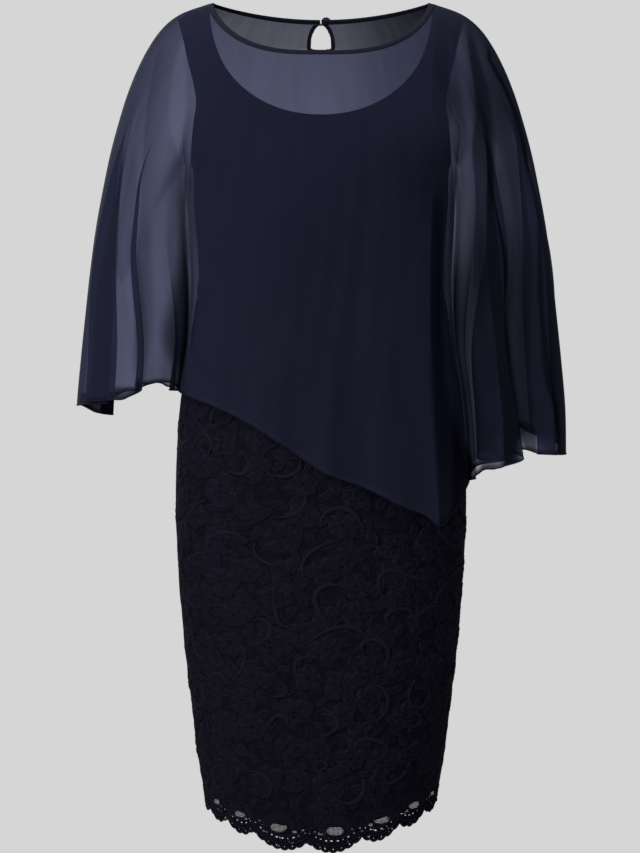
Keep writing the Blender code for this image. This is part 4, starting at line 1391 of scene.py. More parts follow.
                x = x - fold.overlap * run
                depth = depth - fold.depth * run * held
        inside_wall = CHIFFON * (1.0 - smooth_step(0.3, 0.9, along))
        y = side.value * (depth + inside_wall + SEAM / 2)
        return np.stack(np.broadcast_arrays(np.sign(share) * x, y, z), axis=-1)

    def ripples(self, share: Array, z: Array, side: Side) -> Array:
        """Soft small hanging folds that fan out from the shoulders.

        Args:
            share: across, from -1 to 1.
            z: heights.
            side: front or back.

        Returns:
            How far the cloth stands out at each place.
        """
        seed = SEEDS[side].ripples
        place = share + 0.05 * np.sin(z * 9.0 + share * 3.0)
        fine = ripple(seed, 5, place, 0.22, 0.07)
        broad = ripple(seed + 1, 3, place, 0.5, 0.25)
        pulls = ripple(seed + 2, 4, z + 0.35 * np.abs(share), 0.16, 0.05)
        return 0.0007 * fine + 0.001 * broad + 0.0003 * pulls

    def shares(self) -> Array:
        """Shares across the whole cape at which its columns stand, closer near the seams.

        Returns:
            The shares, from left to right.
        """
        even = np.linspace(0.0, 1.0, self.sleeve_columns)
        sleeve = 0.55 * (0.5 - 0.5 * np.cos(math.pi * even)) + 0.45 * even
        right = self.body_share + (1.0 - self.body_share) * sleeve
        turns = np.linspace(-math.pi / 2, math.pi / 2, self.body_columns + 1)[1:-1]
        body = self.body_share * (0.7 * np.sin(turns) + 0.3 * turns / (math.pi / 2))
        return np.concatenate([-right[::-1], body, right])

    def panel(self, side: Side) -> tuple[Array, Array]:
        """One side's places and how many layers of cloth each stands for.

        Args:
            side: front or back.

        Returns:
            Rows by columns by 3 places, and rows by columns layer counts.
        """
        share = self.shares()
        grid = self.points(share, np.linspace(0.0, 1.0, self.rows), side)
        x, z = grid[..., 0], grid[..., 2]
        layers = np.ones(z.shape)
        on_sleeve = smooth_step(0.0, self.turn_soft, self.sleeve_share(share))[None, :]
        lower = smooth_step(-self.gathered_starts, -self.gathered_full, -z)
        layers += (self.gathered - 1.0) * on_sleeve * lower
        for half in Half:
            for gather in GATHERS.get((side, half), ()):
                layers += self.pulled(gather, half.value * x, z)
        layers = np.maximum(layers, self.thinnest)
        right = smooth_step(0.0, self.turn_soft, x)
        # painted shade: more layers over the upper right half, the side away from the light
        layers += self.shaded * right * (1.0 - smooth_step(-self.shade_full, -self.shade_ends, -z))
        above_hem = smooth_step(self.hem_fold_full, self.hem_fold, z - z[-1][None, :])
        layers += self.hem_turned * (1.0 - above_hem)
        if side is Side.BACK:
            # painted shade: the facing counts for more layers on the right half, away from the
            # light
            faced = self.facing * (1.0 + self.facing_right * right)
            layers += faced * smooth_step(-0.002, 0.002, z - self.facing_edge(x))
        return grid, layers

    def pulled(self, gather: Gather, x: Array, z: Array) -> Array:
        """Layers that one gather adds.

        Args:
            gather: the band.
            x: distances from the centre line, less than 0 on the other half.
            z: heights.

        Returns:
            Added layers at each place.
        """
        inner = column(gather.strips, "z", "inner", z)
        outer = column(gather.strips, "z", "outer", z)
        rise = smooth_step(-1.0, 1.0, (x - inner) / gather.inner_soft)
        fall = smooth_step(-1.0, 1.0, (outer - x) / gather.outer_soft)
        return gather.layers * rise * fall * smooth_step(-gather.start, -gather.full, -z)

    def facing_edge(self, x: Array) -> Array:
        """Lower edge of the facing inside the back neck, a curve like the front neckline."""
        share = np.clip(np.abs(x) * self.facing_reach / self.neck_half, 0.0, 1.0)
        return self.facing_rise * (1 - share**2) - self.neck_drop_front * (1 - share**3) ** (2 / 3)

    def build(self) -> None:
        """Builds the two panels, their rolled hems and the seams between them."""
        finish = Chiffon()
        roll = Bias()
        grids = {}
        for side in Side:
            name = "chiffon_" + side.word
            node = "overlay_" + side.word
            grids[side], layers = self.panel(side)
            cloth = grid_cloth(grids[side], layers)
            if side is Side.BACK:
                cloth = self.keyhole_cut(cloth)
            made = cloth.placed(name, finish.made(name), node, [node])
            name = "hem_roll_" + side.word
            hem = tube(grids[side][-1], self.hem_radius, self.roll_corners)
            edge = hem.placed(name, roll.made(name), node)
            LOG.info("chiffon %s: %d faces", side.word, len(made.data.polygons))
        self.seams(grids[Side.FRONT], roll)

    def seams(self, front: Array, roll: Bias) -> None:
        """Builds the shoulder seams, down both overarms, where front and back meet.

        Args:
            front: places of the front panel.
            roll: finish of the seams.
        """
        parts = []
        for end in (0, -1):
            path = front[:, end].copy()
            path[:, 1] = 0.0
            parts.append(tube(path, self.seam_radius, self.roll_corners, self.seam_flat))
        name = "shoulder_seams"
        Cloth.joined(parts).placed(name, roll.made(name), "overlay_front")
        LOG.info("shoulder seams")

    def keyhole_cut(self, cloth: Cloth) -> Cloth:
        """Leaves out the faces inside the keyhole.

        Args:
            cloth: the whole back panel.

        Returns:
            The panel with its opening.
        """
        outline = np.stack(Keyhole(self).outline(Keyhole.band / 2), axis=1)
        points = cloth.points
        near = (np.abs(points[:, 0]) < Keyhole.width) & (points[:, 2] > Keyhole.lowest)
        within = np.zeros(len(points), bool)
        within[near] = inside(points[near][:, [0, 2]], outline)
        kept = [face for face in cloth.faces if not all(within[i] for i in face)]
        return Cloth(cloth.points, kept, cloth.uvs, cloth.layers)


class RollLine(NamedTuple):
    """A line of the keyhole's binding: its share of the band, and how far it stands out."""

    share: float
    outward: float


KEYHOLE_ROLL = records(
    RollLine,
    (0.0, -0.0009), (0.0, 0.0003), (0.3, 0.0007), (0.75, 0.0006), (1.0, 0.0001), (1.0, -0.0009),
)


@dataclass
class Keyhole:
    """Pointed-arch opening at centre back, its binding, and the button and loop above it."""

    cape: Cape
    band: float = 0.0045
    width: float = 0.0252
    arch: float = 0.0243
    foot: float = 0.0035
    pointed: float = 0.56
    square: float = 3.2
    start: float = 0.012
    lowest: float = -0.08
    arch_samples: int = 40
    foot_samples: int = 20
    loop_stitch: float = 0.0012

    def outline(self, outset: float) -> tuple[Array, Array]:
        """The opening's edge, from its top down the right side and up the left one.

        Args:
            outset: distance moved out from the edge.

        Returns:
            x and z of the edge.
        """
        neck = self.cape.neckline(np.array(0.0), Side.BACK, self.cape.neck_band)[1]
        top = float(neck) - 2 * SEAM
        down = self.start + (1.0 - self.start) * np.linspace(0.0, 1.0, self.arch_samples) ** 1.5
        turns = np.linspace(0.0, math.pi / 2, self.foot_samples)[1:]
        curve = (1.0 - (1.0 - down) ** 2) ** self.pointed
        wide = np.concatenate([curve, np.cos(turns) ** (2 / self.square)])
        foot = self.arch + self.foot * np.sin(turns) ** (2 / self.square)
        fall = np.concatenate([self.arch * down, foot])
        x = self.width / 2 * np.concatenate([wide, -wide[-2::-1]])
        z = top - np.concatenate([fall, fall[-2::-1]])
        run = np.stack([np.gradient(x), np.gradient(z)])
        run /= np.linalg.norm(run, axis=0)
        return x - outset * run[1], np.minimum(z + outset * run[0], top)

    def surface(self, x: Array, z: Array, outward: float) -> Array:
        """Places on the back of the cape."""
        depth = self.cape.depth(np.abs(x), z, Side.BACK, False) + CHIFFON + outward
        return np.stack([x, depth, z], axis=-1)

    def build(self) -> None:
        """Builds the binding, and dresses the button and its loop."""
        rings = []
        for share, outward in KEYHOLE_ROLL:
            x, z = self.outline(self.band * share)
            rings.append(self.surface(x, z, outward))
        name, node = "keyhole_roll", "keyhole_binding"
        grid_cloth(np.array(rings)).placed(name, Bias().made(name), node, [node])
        dressed = {
            "neck_button": Covered().made("covered_button"),
            "button_loop": Bias(stitch=self.loop_stitch).made("loop_thread"),
        }
        for node, material in dressed.items():
            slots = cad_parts[node].data.materials
            slots.clear()
            slots.append(material)
        LOG.info("keyhole binding, button and loop")


@dataclass
class NeckBinding:
    """Narrow bias binding round the boat neck."""

    cape: Cape
    end_gap: float = 0.0012
    back_points: int = 60
    front_points: int = 160

    def point(self, share: float, side: Side, inset: float, outward: float) -> Array:
        """Place on the cape near the neck edge, moved out.

        Args:
            share: from -1 at the left neck point to 1 at the right one.
            side: front or back.
            inset: distance down from the edge.
            outward: distance out from the chiffon's outer face.

        Returns:
            The place.
        """
        x, z = self.cape.neckline(share, side, inset)
        depth = self.cape.depth(np.abs(x), z, side, False)
        y = side.value * (depth + CHIFFON + outward)
        return np.stack(np.broadcast_arrays(x, y, z), axis=-1)

    def build(self) -> None:
        """Builds one rounded strip from centre back round the front to centre back."""
        gap = self.end_gap / self.cape.neck_half / 2
        path = [(Side.BACK, share) for share in np.linspace(gap, 1.0, self.back_points)[:-1]]
        path += [(Side.FRONT, share) for share in np.linspace(1.0, -1.0, self.front_points)]
        path += [(Side.BACK, share) for share in np.linspace(-1.0, -gap, self.back_points)[1:]]
        band = self.cape.neck_band
        proud = (BINDING - CHIFFON) / 2
        profile = (
            (band + 0.0003, -0.0004, 0.0),
            (band, proud * 0.8, 0.0),
            (band * 0.8, proud + 0.0001, 0.0),
            (band * 0.35, proud + 0.0003, 0.0),
            (0.0002, proud, 0.0),
            (-0.0001, proud, BINDING * 0.5),
            (0.0002, proud, BINDING),
            (band * 0.5, proud, BINDING + 0.0002),
            (band, proud, BINDING),
        )
        rings = []
        for inset, outward, inward in profile:
            ring = np.array([self.point(share, side, inset, outward) for side, share in path])
            away = ring[:, :2] / np.linalg.norm(ring[:, :2], axis=1, keepdims=True)
            ring[:, :2] -= inward * away
            rings.append(ring)
        name, node = "neck_roll", "neck_binding"
        grid_cloth(np.array(rings)).placed(name, Bias().made(name), node, [node])
        LOG.info("neck binding")


# Bodice and slip


@dataclass
class Bodice:
    """One panel of the opaque jersey bodice with its scoop neck."""

    side: Side
    scoop_half: float = 0.1335
    scoop_bottom_front: float = -0.1375
    scoop_bottom_back: float = -0.135
    scoop_round: float = 2.1
    strap_top: float = -0.0038
    strap_end: float = -0.019
    underarm: float = -0.193
    low_rows: int = 60
    high_rows: int = 70
    half_columns: int = 50
    ease_low: float = 3.5
    ease_height: float = 0.35
    wrinkle_seed: int = 21
    wrinkle_depth: float = 0.0004
    tuck: float = 0.0001
    edge_radius: float = 0.0011
    edge_flat: float = 0.7
    edge_corners: int = 6
    edge_step: float = 0.002
    cut: tuple[float, float] = (0.44, 0.36)
    cut_area: float = 0.115

    def __post_init__(self) -> None:
        """Picks the height of the scoop's lowest point."""
        front = self.side is Side.FRONT
        self.bottom = self.scoop_bottom_front if front else self.scoop_bottom_back

    def scoop(self, share: Array) -> tuple[Array, Array]:
        """The neckline.

        Args:
            share: 0 at the centre, 1 at the shoulder seam.

        Returns:
            x and z of the edge.
        """
        turn = math.pi / 2 * np.asarray(share, float)
        x = self.scoop_half * np.sin(turn) ** (2 / self.scoop_round)
        fall = np.clip(np.cos(turn), 0.0, 1.0) ** (2 / self.scoop_round)
        return x, self.strap_top + (self.bottom - self.strap_top) * fall

    def rows(self) -> tuple[Array, Array, Array, Array]:
        """Where each row of half a panel starts and ends.

        Returns:
            Angle and height of the inner ends, then of the outer ends.
        """
        low = np.arange(self.low_rows) / self.low_rows
        high = np.arange(self.high_rows + 1) / self.high_rows
        x, z_high = self.scoop(high)
        edge_high = self.underarm + (self.strap_end - self.underarm) * high
        edge_x = column(ARMHOLE, "z", "x", edge_high)
        z_in = np.concatenate([WAIST + (self.bottom - WAIST) * low, z_high])
        z_out = np.concatenate([WAIST + (self.underarm - WAIST) * low, edge_high])
        angle_in = np.concatenate([np.zeros(self.low_rows), torso_angle(x, z_high)])
        side_seam = np.full(self.low_rows + 1, math.pi / 2)
        angle_out = np.concatenate([side_seam, torso_angle(edge_x, edge_high)[1:]])
        return angle_in, z_in, angle_out, z_out

    def half(self, half: Half) -> Array:
        """Places of one half of a panel.

        Args:
            half: left or right.

        Returns:
            Rows by columns by 3 places.
        """
        angle_in, z_in, angle_out, z_out = self.rows()
        step = np.linspace(0.0, 1.0, self.half_columns + 1)[None, :]
        high = np.maximum(np.arange(len(z_in)) - self.low_rows, 0) / self.high_rows
        eased = 1.0 - smooth_step(0.0, self.ease_height, high)
        ease = (1.0 + (self.ease_low - 1.0) * eased)[:, None]
        quarter = math.pi / 2
        inward = angle_in[:, None] * (1.0 - step) ** ease
        outward = (quarter - angle_out)[:, None] * step**ease
        angle = half.value * (quarter * step + inward - outward)
        z = z_in[:, None] + (z_out - z_in)[:, None] * step
        soft = np.sin(math.pi * step) * smooth_step(0.05, 0.16, -z)
        wrinkle = ripple(self.wrinkle_seed, 4, z + 0.25 * np.abs(angle), 0.09, 0.03)
        return torso_point(angle, z, self.side, self.wrinkle_depth * wrinkle * soft - self.tuck)

    def build(self) -> None:
        """Builds the panel and the turned edges of its neck and armholes."""
        finish = Jersey()
        word = self.side.word
        name, node = "jersey_bodice_" + word, "bodice_" + word
        grids = [self.half(half) for half in Half]
        panel = Cloth.joined([grid_cloth(grid) for grid in grids])
        made = panel.placed(name, finish.made(name), node, [node])
        edges = []
        for grid in grids:
            for end in (0, -1):
                path = resampled(grid[self.low_rows :, end], self.edge_step)
                edges.append(tube(path, self.edge_radius, self.edge_corners, self.edge_flat))
        name = "bodice_edge_" + word
        edge = Cloth.joined(edges).placed(name, finish.made(name), node)
        LOG.info("bodice %s", word)


@dataclass
class Slip:
    """One panel of the opaque slip skirt under the lace."""

    side: Side
    colour: Colour = (0.0018, 0.0016, 0.0032)
    light: Colour = (0.003, 0.0027, 0.0052)
    hem_side: float = -0.93
    dip_front: float = 0.035
    dip_back: float = 0.024
    rows: int = 90
    columns: int = 80
    hem_radius: float = 0.001
    hem_corners: int = 6
    cut: tuple[float, float] = (0.52, 0.62)
    cut_area: float = 0.285

    def build(self) -> None:
        """Builds the panel with its turned hem."""
        finish = Jersey(colour=self.colour, light=self.light)
        lace = Lace(self.side)
        word = self.side.word
        dip = self.dip_front if self.side is Side.FRONT else self.dip_back
        angle = lace.hem_angle(np.linspace(-lace.half_girth, lace.half_girth, self.columns))
        share = np.linspace(0.0, 1.0, self.rows)[:, None]
        hem = self.hem_side - dip * np.cos(angle) ** 2 + lace.tilt * np.sin(angle)
        z = (WAIST - SEAM) + (hem[None, :] - WAIST + SEAM) * share
        grid = torso_point(np.broadcast_to(angle, z.shape), z, self.side, 0.0)
        name, node = "slip_" + word, "skirt_lining_" + word
        panel = grid_cloth(grid)
        made = panel.placed(name, finish.made(name), node, ["slip_yoke_" + word, node])
        name = "slip_hem_" + word
        roll = tube(grid[-1], self.hem_radius, self.hem_corners)
        edge = roll.placed(name, finish.made(name), node)
        LOG.info("slip %s", word)


# Lace


class Motif(NamedTuple):
    """One petal or leaf of the lace, flat on the cloth, from its foot outwards."""

    along: float
    height: float
    tilt: float
    length: float
    width: float
    rise: float
    lift: float
    point: float


class Hole(NamedTuple):
    """A small oval hole of the border, laid along the hem."""

    along: float
    height: float
    slope: float
    half_long: float
    half_high: float

    def ring(self, spare: float, count: int) -> Array:
        """Points round the hole.

        Args:
            spare: how far outside its rim they lie.
            count: number of points.

        Returns:
            The points, along the hem and up.
        """
        turns = np.arange(count) * 2 * math.pi / count
        long = (self.half_long + spare) * np.cos(turns)
        high = (self.half_high + spare) * np.sin(turns)
        cos, sin = math.cos(self.slope), math.sin(self.slope)
        return np.stack(
            [self.along + long * cos - high * sin, self.height + long * sin + high * cos], axis=1
        )

    def far(self, places: Array, spare: float) -> Array:
        """How far places lie from the middle.

        Args:
            places: N by 2 places.
            spare: how far outside the rim the measuring oval lies.

        Returns:
            Distances, 1 on that oval.
        """
        x, z = places[:, 0] - self.along, places[:, 1] - self.height
        cos, sin = math.cos(self.slope), math.sin(self.slope)
        long = (x * cos + z * sin) / (self.half_long + spare)
        return np.hypot(long, (z * cos - x * sin) / (self.half_high + spare))


class Window(NamedTuple):
    """An oval of the border left as open net, or partly filled."""

    along: float
    height: float
    half_long: float
    half_high: float
    filled: float


class Opening(NamedTuple):
    """Where a window stands in each scallop: its size, and how closely it may be filled."""

    share: float
    inset: float
    long: float
    high: float
    least: float
    most: float


OPENINGS = (
    Opening(0.5, 0.0232, 1.0, 1.0, 0.42, 0.51),
    Opening(0.24, 0.018, 0.36, 0.45, 0.44, 0.52),
    Opening(0.77, 0.0178, 0.34, 0.425, 0.44, 0.52),
)


class Whorl(NamedTuple):
    """One ring of a flower's petals: fewest and most, their reach, and where they start."""

    fewest: int
    most: int
    reach: float
    out: float


BLOSSOM = (Whorl(5, 7, 0.0165, 0.002), Whorl(4, 5, 0.0085, 0.0008))


class Cord(NamedTuple):
    """A cord that follows the scallops."""

    inset: float
    radius: float


CORDS = (Cord(0.0046, 0.0009), Cord(0.0084, 0.0007), Cord(0.014, 0.0008))

CUSPS = {
    Side.FRONT: (
        -0.228, -0.19, -0.1532, -0.1179, -0.0807, -0.0159, 0.048, 0.0939, 0.1348, 0.172, 0.21
    ),
    Side.BACK: (-0.228, -0.19, -0.125, -0.06, 0.005, 0.068, 0.13, 0.172, 0.21),
}

PETAL_ACROSS = (-1.0, -0.84, -0.5, 0.0, 0.5, 0.84, 1.0)
BAND_ACROSS = (-1.0, -0.85, -0.45, 0.0, 0.45, 0.85, 1.0)
# share of painted light across a band: lighter on its raised middle, painted shade at its edges
BAND_PAINTED_LIGHT = (0.0, 0.75, 0.8, 0.9, 0.8, 0.75, 0.0)


@dataclass
class Lace:
    """One panel of the lace skirt: net, raised flowers, leaves and scrolls, scalloped border.

    Flat places on it are measured along the hem from the centre line, and up.
    """

    side: Side
    hem_side: float = -0.9585
    dip_front: float = 0.035
    dip_back: float = 0.0205
    tilt: float = 0.0025
    gap: float = 0.0021
    thickness: float = 0.0012
    ground_lift: float = 0.0003
    scallop: float = 0.066
    scallop_depth: float = 0.0125
    swell: float = 0.8
    half_girth: float = 0.1975
    dash_pitch: float = 0.0062
    dash_long: float = 0.0016
    dash_high: float = 0.0007
    dash_inset: float = 0.0112
    dot_radius: float = 0.0008
    dot_inset: float = 0.0014
    hole_points: int = 10
    window_width: float = 0.0112
    window_height: float = 0.0064
    window_share: float = 0.24
    flower_room: float = 0.03
    flower_tries: int = 4200
    flower_clear: float = 0.04
    leaf_room: float = 0.0125
    leaf_tries: int = 9000
    leaf_clear: float = 0.03
    leaf_from_flower: float = 0.012
    side_clear: float = 0.006
    scroll_room: float = 0.038
    scroll_tries: int = 1400
    scroll_points: int = 40
    scroll_clear: float = 0.02
    scroll_rise: float = 0.0008
    scroll_lift: float = 0.0012
    picot_pitch: float = 0.0096
    picot_depth: float = 0.0026
    fan_petals: int = 11
    petal_points: int = 8
    coarse: float = 0.005
    fine: float = 0.002
    cord_lift: float = 0.001
    edge_radius: float = 0.0011
    seam_radius: float = 0.0011
    ring_radius: float = 0.0006
    rim_radius: float = 0.0008
    cut: tuple[float, float] = (0.52, 0.66)
    cut_area: float = 0.3

    def hem_angle(self, along: Array) -> Array:
        """Angle of the torso that lies a given length along the hem from the centre.

        Args:
            along: lengths along the hem.

        Returns:
            The angles, in radians.
        """
        turns = np.linspace(-math.pi / 2, math.pi / 2, 401)
        outward = self.gap + self.thickness
        rim = torso_point(turns, np.full_like(turns, self.hem_side), self.side, outward)
        length = run_length(rim)
        share = 2 * length / length[-1] - 1.0
        return np.interp(np.asarray(along) / self.half_girth, share, turns)

    def hem(self, along: Array) -> Array:
        """Height of the scalloped edge.

        Args:
            along: places along the hem.

        Returns:
            The edge's height at each place.
        """
        dip = self.dip_front if self.side is Side.FRONT else self.dip_back
        turn = math.pi / 2 * np.asarray(along) / self.half_girth
        level = self.hem_side + self.scallop_depth - dip * np.cos(turn) ** 2
        level = level + self.tilt * np.sin(turn)
        cusps = np.array(CUSPS[self.side])
        number = np.interp(along, cusps, np.arange(len(cusps)))
        width = np.diff(cusps)[np.clip(number.astype(int), 0, len(cusps) - 2)]
        drop = self.scallop_depth * np.sqrt(width / self.scallop)
        return level - drop * np.abs(np.sin(math.pi * number)) ** self.swell

    def edge(self, along: Array) -> Array:
        """Height of the very edge, with its picots."""
        bumps = np.abs(np.sin(math.pi * np.asarray(along) / self.picot_pitch)) ** 0.7
        return self.hem(along) - self.picot_depth * bumps

    def wrapped(self, flat: Array, outward: float | Array) -> Array:
        """Flat places on the lace laid round the body.

        Args:
            flat: N by 2 places, along the hem and up.
            outward: distance out from the lace's inner face.

        Returns:
            N by 3 places.
        """
        along = np.clip(flat[:, 0], -self.half_girth, self.half_girth)
        return torso_point(self.hem_angle(along), flat[:, 1], self.side, self.gap + outward)

    def outline(self) -> list:
        """Closed outline of a panel: scalloped edge from left to right, then sides and waist.

        Returns:
            Flat corners in order.
        """
        half = self.half_girth
        edge = [(float(x), float(self.edge(x))) for x in np.linspace(-half, half, 501)]
        right = [(half, float(z)) for z in np.linspace(edge[-1][1], WAIST, 90)[1:-1]]
        top = [(float(x), WAIST) for x in np.linspace(half, -half, 60)]
        return edge + right + top + [(-x, z) for x, z in reversed(right)]

    def holes(self) -> list:
        """Small holes of the border: dashes along each scallop and dots in its picots.

        Returns:
            The holes.
        """
        rng = np.random.default_rng(SEEDS[self.side].holes)
        found = []
        cusps = CUSPS[self.side]
        for start, stop in zip(cusps, cusps[1:]):
            count = max(round((stop - start) / self.dash_pitch), 2)
            for share in (np.arange(count) + 0.5) / count:
                along = float(start + (stop - start) * (share + rng.uniform(-0.1, 0.1) / count))
                low, high = self.hem(np.array([along - 0.001, along + 0.001]))
                slope = 0.8 * math.atan2(float(high - low), 0.002)
                height = float(self.hem(along)) + self.dash_inset
                height += rng.uniform(-0.0004, 0.0004)
                size = rng.uniform(0.5, 1.15)
                dash = (self.dash_long * size, self.dash_high * size)
                found.append(Hole(along, height, slope, *dash))
        count = int(self.half_girth / self.picot_pitch)
        for k in range(-count, count):
            along = (k + 0.5) * self.picot_pitch
            place = float(np.interp(along, cusps, np.arange(len(cusps))))
            if abs(math.sin(math.pi * place)) > 0.55:
                size = self.dot_radius * rng.uniform(0.6, 1.1)
                height = float(self.hem(along)) + self.dot_inset
                found.append(Hole(along, height, 0.0, size, size))
        return [hole for hole in found if abs(hole.along) < self.half_girth - 0.005]

    def windows(self) -> list:
        """Net windows of the border: a large one in each scallop and a small one at each side.

        Returns:
            The windows.
        """
        rng = np.random.default_rng(SEEDS[self.side].windows)
        found = []
        cusps = CUSPS[self.side]
        for start, stop in zip(cusps, cusps[1:]):
            narrow = min(math.sqrt((stop - start) / self.scallop), 1.0)
            widest = min(self.window_width, self.window_share * (stop - start))
            for opening in OPENINGS:
                along = start + (stop - start) * (opening.share + rng.uniform(-0.03, 0.03))
                filled = rng.uniform(opening.least, opening.most)
                height = float(self.hem(along)) + opening.inset * (0.5 + 0.5 * narrow)
                long = widest * opening.long
                high = self.window_height * opening.high * narrow
                if abs(along) < self.half_girth - long - 0.004:
                    found.append(Window(along, height, long, high, filled))
        return found

    def stations(self, holes: Sequence[Hole]) -> Array:
        """Places inside a panel at which its net has points, closer together near the hem.

        Args:
            holes: holes to keep clear of.

        Returns:
            N by 2 places.
        """
        half = self.half_girth
        low = self.hem_side - 0.04
        fields = (
            (np.linspace(-half, half, 100), np.arange(WAIST - 0.005, low, -self.coarse)),
            (np.linspace(-half, half, 200), np.arange(self.hem_side + 0.035, low, -self.fine)),
        )
        grids = [np.stack(np.meshgrid(xs[1:-1], zs), axis=-1).reshape(-1, 2) for xs, zs in fields]
        places = np.concatenate(grids)
        places = places[places[:, 1] > self.hem(places[:, 0]) + 0.0012]
        for hole in holes:
            places = places[hole.far(places, 0.0005) > 1.0]
        return places

    def ground(self) -> Cloth:
        """Net ground with the holes cut out.

        Returns:
            The panel.
        """
        outline = self.outline()
        points = list(outline)
        count = len(outline)
        edges = [(i, (i + 1) % count) for i in range(count)]
        holes = self.holes()
        for hole in holes:
            start, count = len(points), self.hole_points
            points += [(float(x), float(z)) for x, z in hole.ring(0.0, count)]
            edges += [(start + i, start + (i + 1) % count) for i in range(count)]
        points += [tuple(place) for place in self.stations(holes)]
        flat = [Vector(point) for point in points]
        corners, _, triangles, _, _, _ = delaunay_2d_cdt(flat, edges, [], 0, 1e-6)
        corners = np.array([tuple(corner) for corner in corners])
        triangles = np.array([list(triangle) for triangle in triangles])
        middles = corners[triangles].mean(axis=1)
        kept = inside(middles, np.array(outline))
        for hole in holes:
            kept &= hole.far(middles, 0.0) > 0.97
        faces = [tuple(face) for face in triangles[kept].tolist()]
        places = self.wrapped(corners, self.ground_lift)
        return Cloth(places, faces, corners, self.solidity(corners))

    def solidity(self, flat: Array) -> Array:
        """How closely the lace is worked.

        Args:
            flat: N by 2 places.

        Returns:
            1 where it is closely worked, less in the net windows of the border.
        """
        solid = np.ones(len(flat))
        for window in self.windows():
            apart = (flat - (window.along, window.height)) / (window.half_long, window.half_high)
            worked = smooth_step(0.75, 1.15, np.hypot(apart[:, 0], apart[:, 1]))
            solid = np.minimum(solid, window.filled + (1.0 - window.filled) * worked)
        return solid

    def clear(self, place: tuple, above: float) -> bool:
        """Whether a motif's middle is far enough above the hem and in from the side seams."""
        low = float(self.hem(place[0])) + above
        return place[1] >= low and abs(place[0]) <= self.half_girth - self.side_clear

    def flowers(self) -> list:
        """Flowers and leaves scattered so that they cover the net.

        Returns:
            Their petals as motifs.
        """
        rng = np.random.default_rng(SEEDS[self.side].flowers)
        field = (self.half_girth, self.hem_side - 0.04, WAIST)
        motifs: list[Motif] = []
        centres = scattered(rng, *field, self.flower_room, self.flower_tries)
        for place in centres:
            if self.clear(place, self.flower_clear):
                motifs += self.blossom(rng, *place)
        hearts = np.array(centres)
        for place in scattered(rng, *field, self.leaf_room, self.leaf_tries):
            apart = np.hypot(*(hearts - place).T).min()
            if self.clear(place, self.leaf_clear) and apart >= self.leaf_from_flower:
                motifs.append(self.leaf(rng, *place))
        return motifs

    @staticmethod
    def blossom(rng: np.random.Generator, along: float, height: float) -> list:
        """One flower of two whorls of petals.

        Args:
            rng: source of the draws.
            along: place of its heart along the hem.
            height: height of its heart.

        Returns:
            Its petals.
        """
        turn = rng.uniform(0.0, 2 * math.pi)
        lift = rng.uniform(0.0001, 0.0006)
        petals = []
        for ring, whorl in enumerate(BLOSSOM):
            count = int(rng.integers(whorl.fewest, whorl.most + 1))
            reach = whorl.reach * rng.uniform(0.85, 1.15)
            for k in range(count):
                tilt = turn + ring * 0.5 + 2 * math.pi * k / count + rng.uniform(-0.22, 0.22)
                length = reach * rng.uniform(0.8, 1.15)
                width = length * rng.uniform(0.46, 0.66)
                rise = rng.uniform(0.0009, 0.0015)
                foot = (along + whorl.out * math.cos(tilt), height + whorl.out * math.sin(tilt))
                higher = lift + 0.0006 * ring + 0.00012 * k
                point = rng.uniform(0.75, 1.25)
                petals.append(Motif(*foot, tilt, length, width, rise, higher, point))
        return petals

    @staticmethod
    def leaf(rng: np.random.Generator, along: float, height: float) -> Motif:
        """One leaf.

        Args:
            rng: source of the draws.
            along: place of its middle along the hem.
            height: height of its middle.

        Returns:
            The leaf.
        """
        tilt = rng.uniform(0.0, 2 * math.pi)
        length = rng.uniform(0.014, 0.025)
        foot = (along - 0.5 * length * math.cos(tilt), height - 0.5 * length * math.sin(tilt))
        width = length * rng.uniform(0.2, 0.32)
        rise = rng.uniform(0.0007, 0.0013)
        lift = rng.uniform(0.0, 0.0008)
        return Motif(*foot, tilt, length, width, rise, lift, rng.uniform(1.2, 1.7))

    def petal(self, motif: Motif) -> Cloth:
        """A domed petal with a corded rim and a vein.

        Args:
            motif: the petal, flat.

        Returns:
            The petal laid on the body.
        """
        a = np.linspace(0.0, 1.0, self.petal_points)[:, None]
        b = np.array(PETAL_ACROSS)[None, :]
        shape = np.sin(math.pi * np.clip(a, 0.02, 0.985) ** motif.point) ** 0.75
        wide = motif.width * shape * b
        long = motif.length * (a + 0.0 * b)
        cos, sin = math.cos(motif.tilt), math.sin(motif.tilt)
        x = motif.along + long * cos - wide * sin
        z = motif.height + long * sin + wide * cos
        rim = np.exp(-(((np.abs(b) - 0.8) / 0.16) ** 2))
        vein = np.exp(-((b / 0.18) ** 2))
        tips = np.sin(math.pi * np.clip(a, 0.05, 0.95)) ** 0.4
        rise = motif.rise * (0.55 * (1.0 - b**2) + 0.65 * rim - 0.35 * vein) * tips
        outermost = (np.abs(b) == 1.0) * np.ones_like(a)
        outward = self.ground_lift + motif.lift + rise - (motif.lift + 0.0004) * outermost
        points = self.wrapped(np.stack([x.ravel(), z.ravel()], axis=1), outward.ravel())
        uvs = np.stack([(b * motif.width + 0.0 * a).ravel(), long.ravel() + motif.along], axis=1)
        # painted light on the corded rim, painted shade at the vein and at the outermost edge
        painted_relief_light = np.clip((0.35 + 0.65 * rim - 0.2 * vein) * (1.0 - outermost), 0.0, 1.0)
        return Cloth(points, grid_faces(len(a), b.size), uvs, painted_relief_light.ravel())

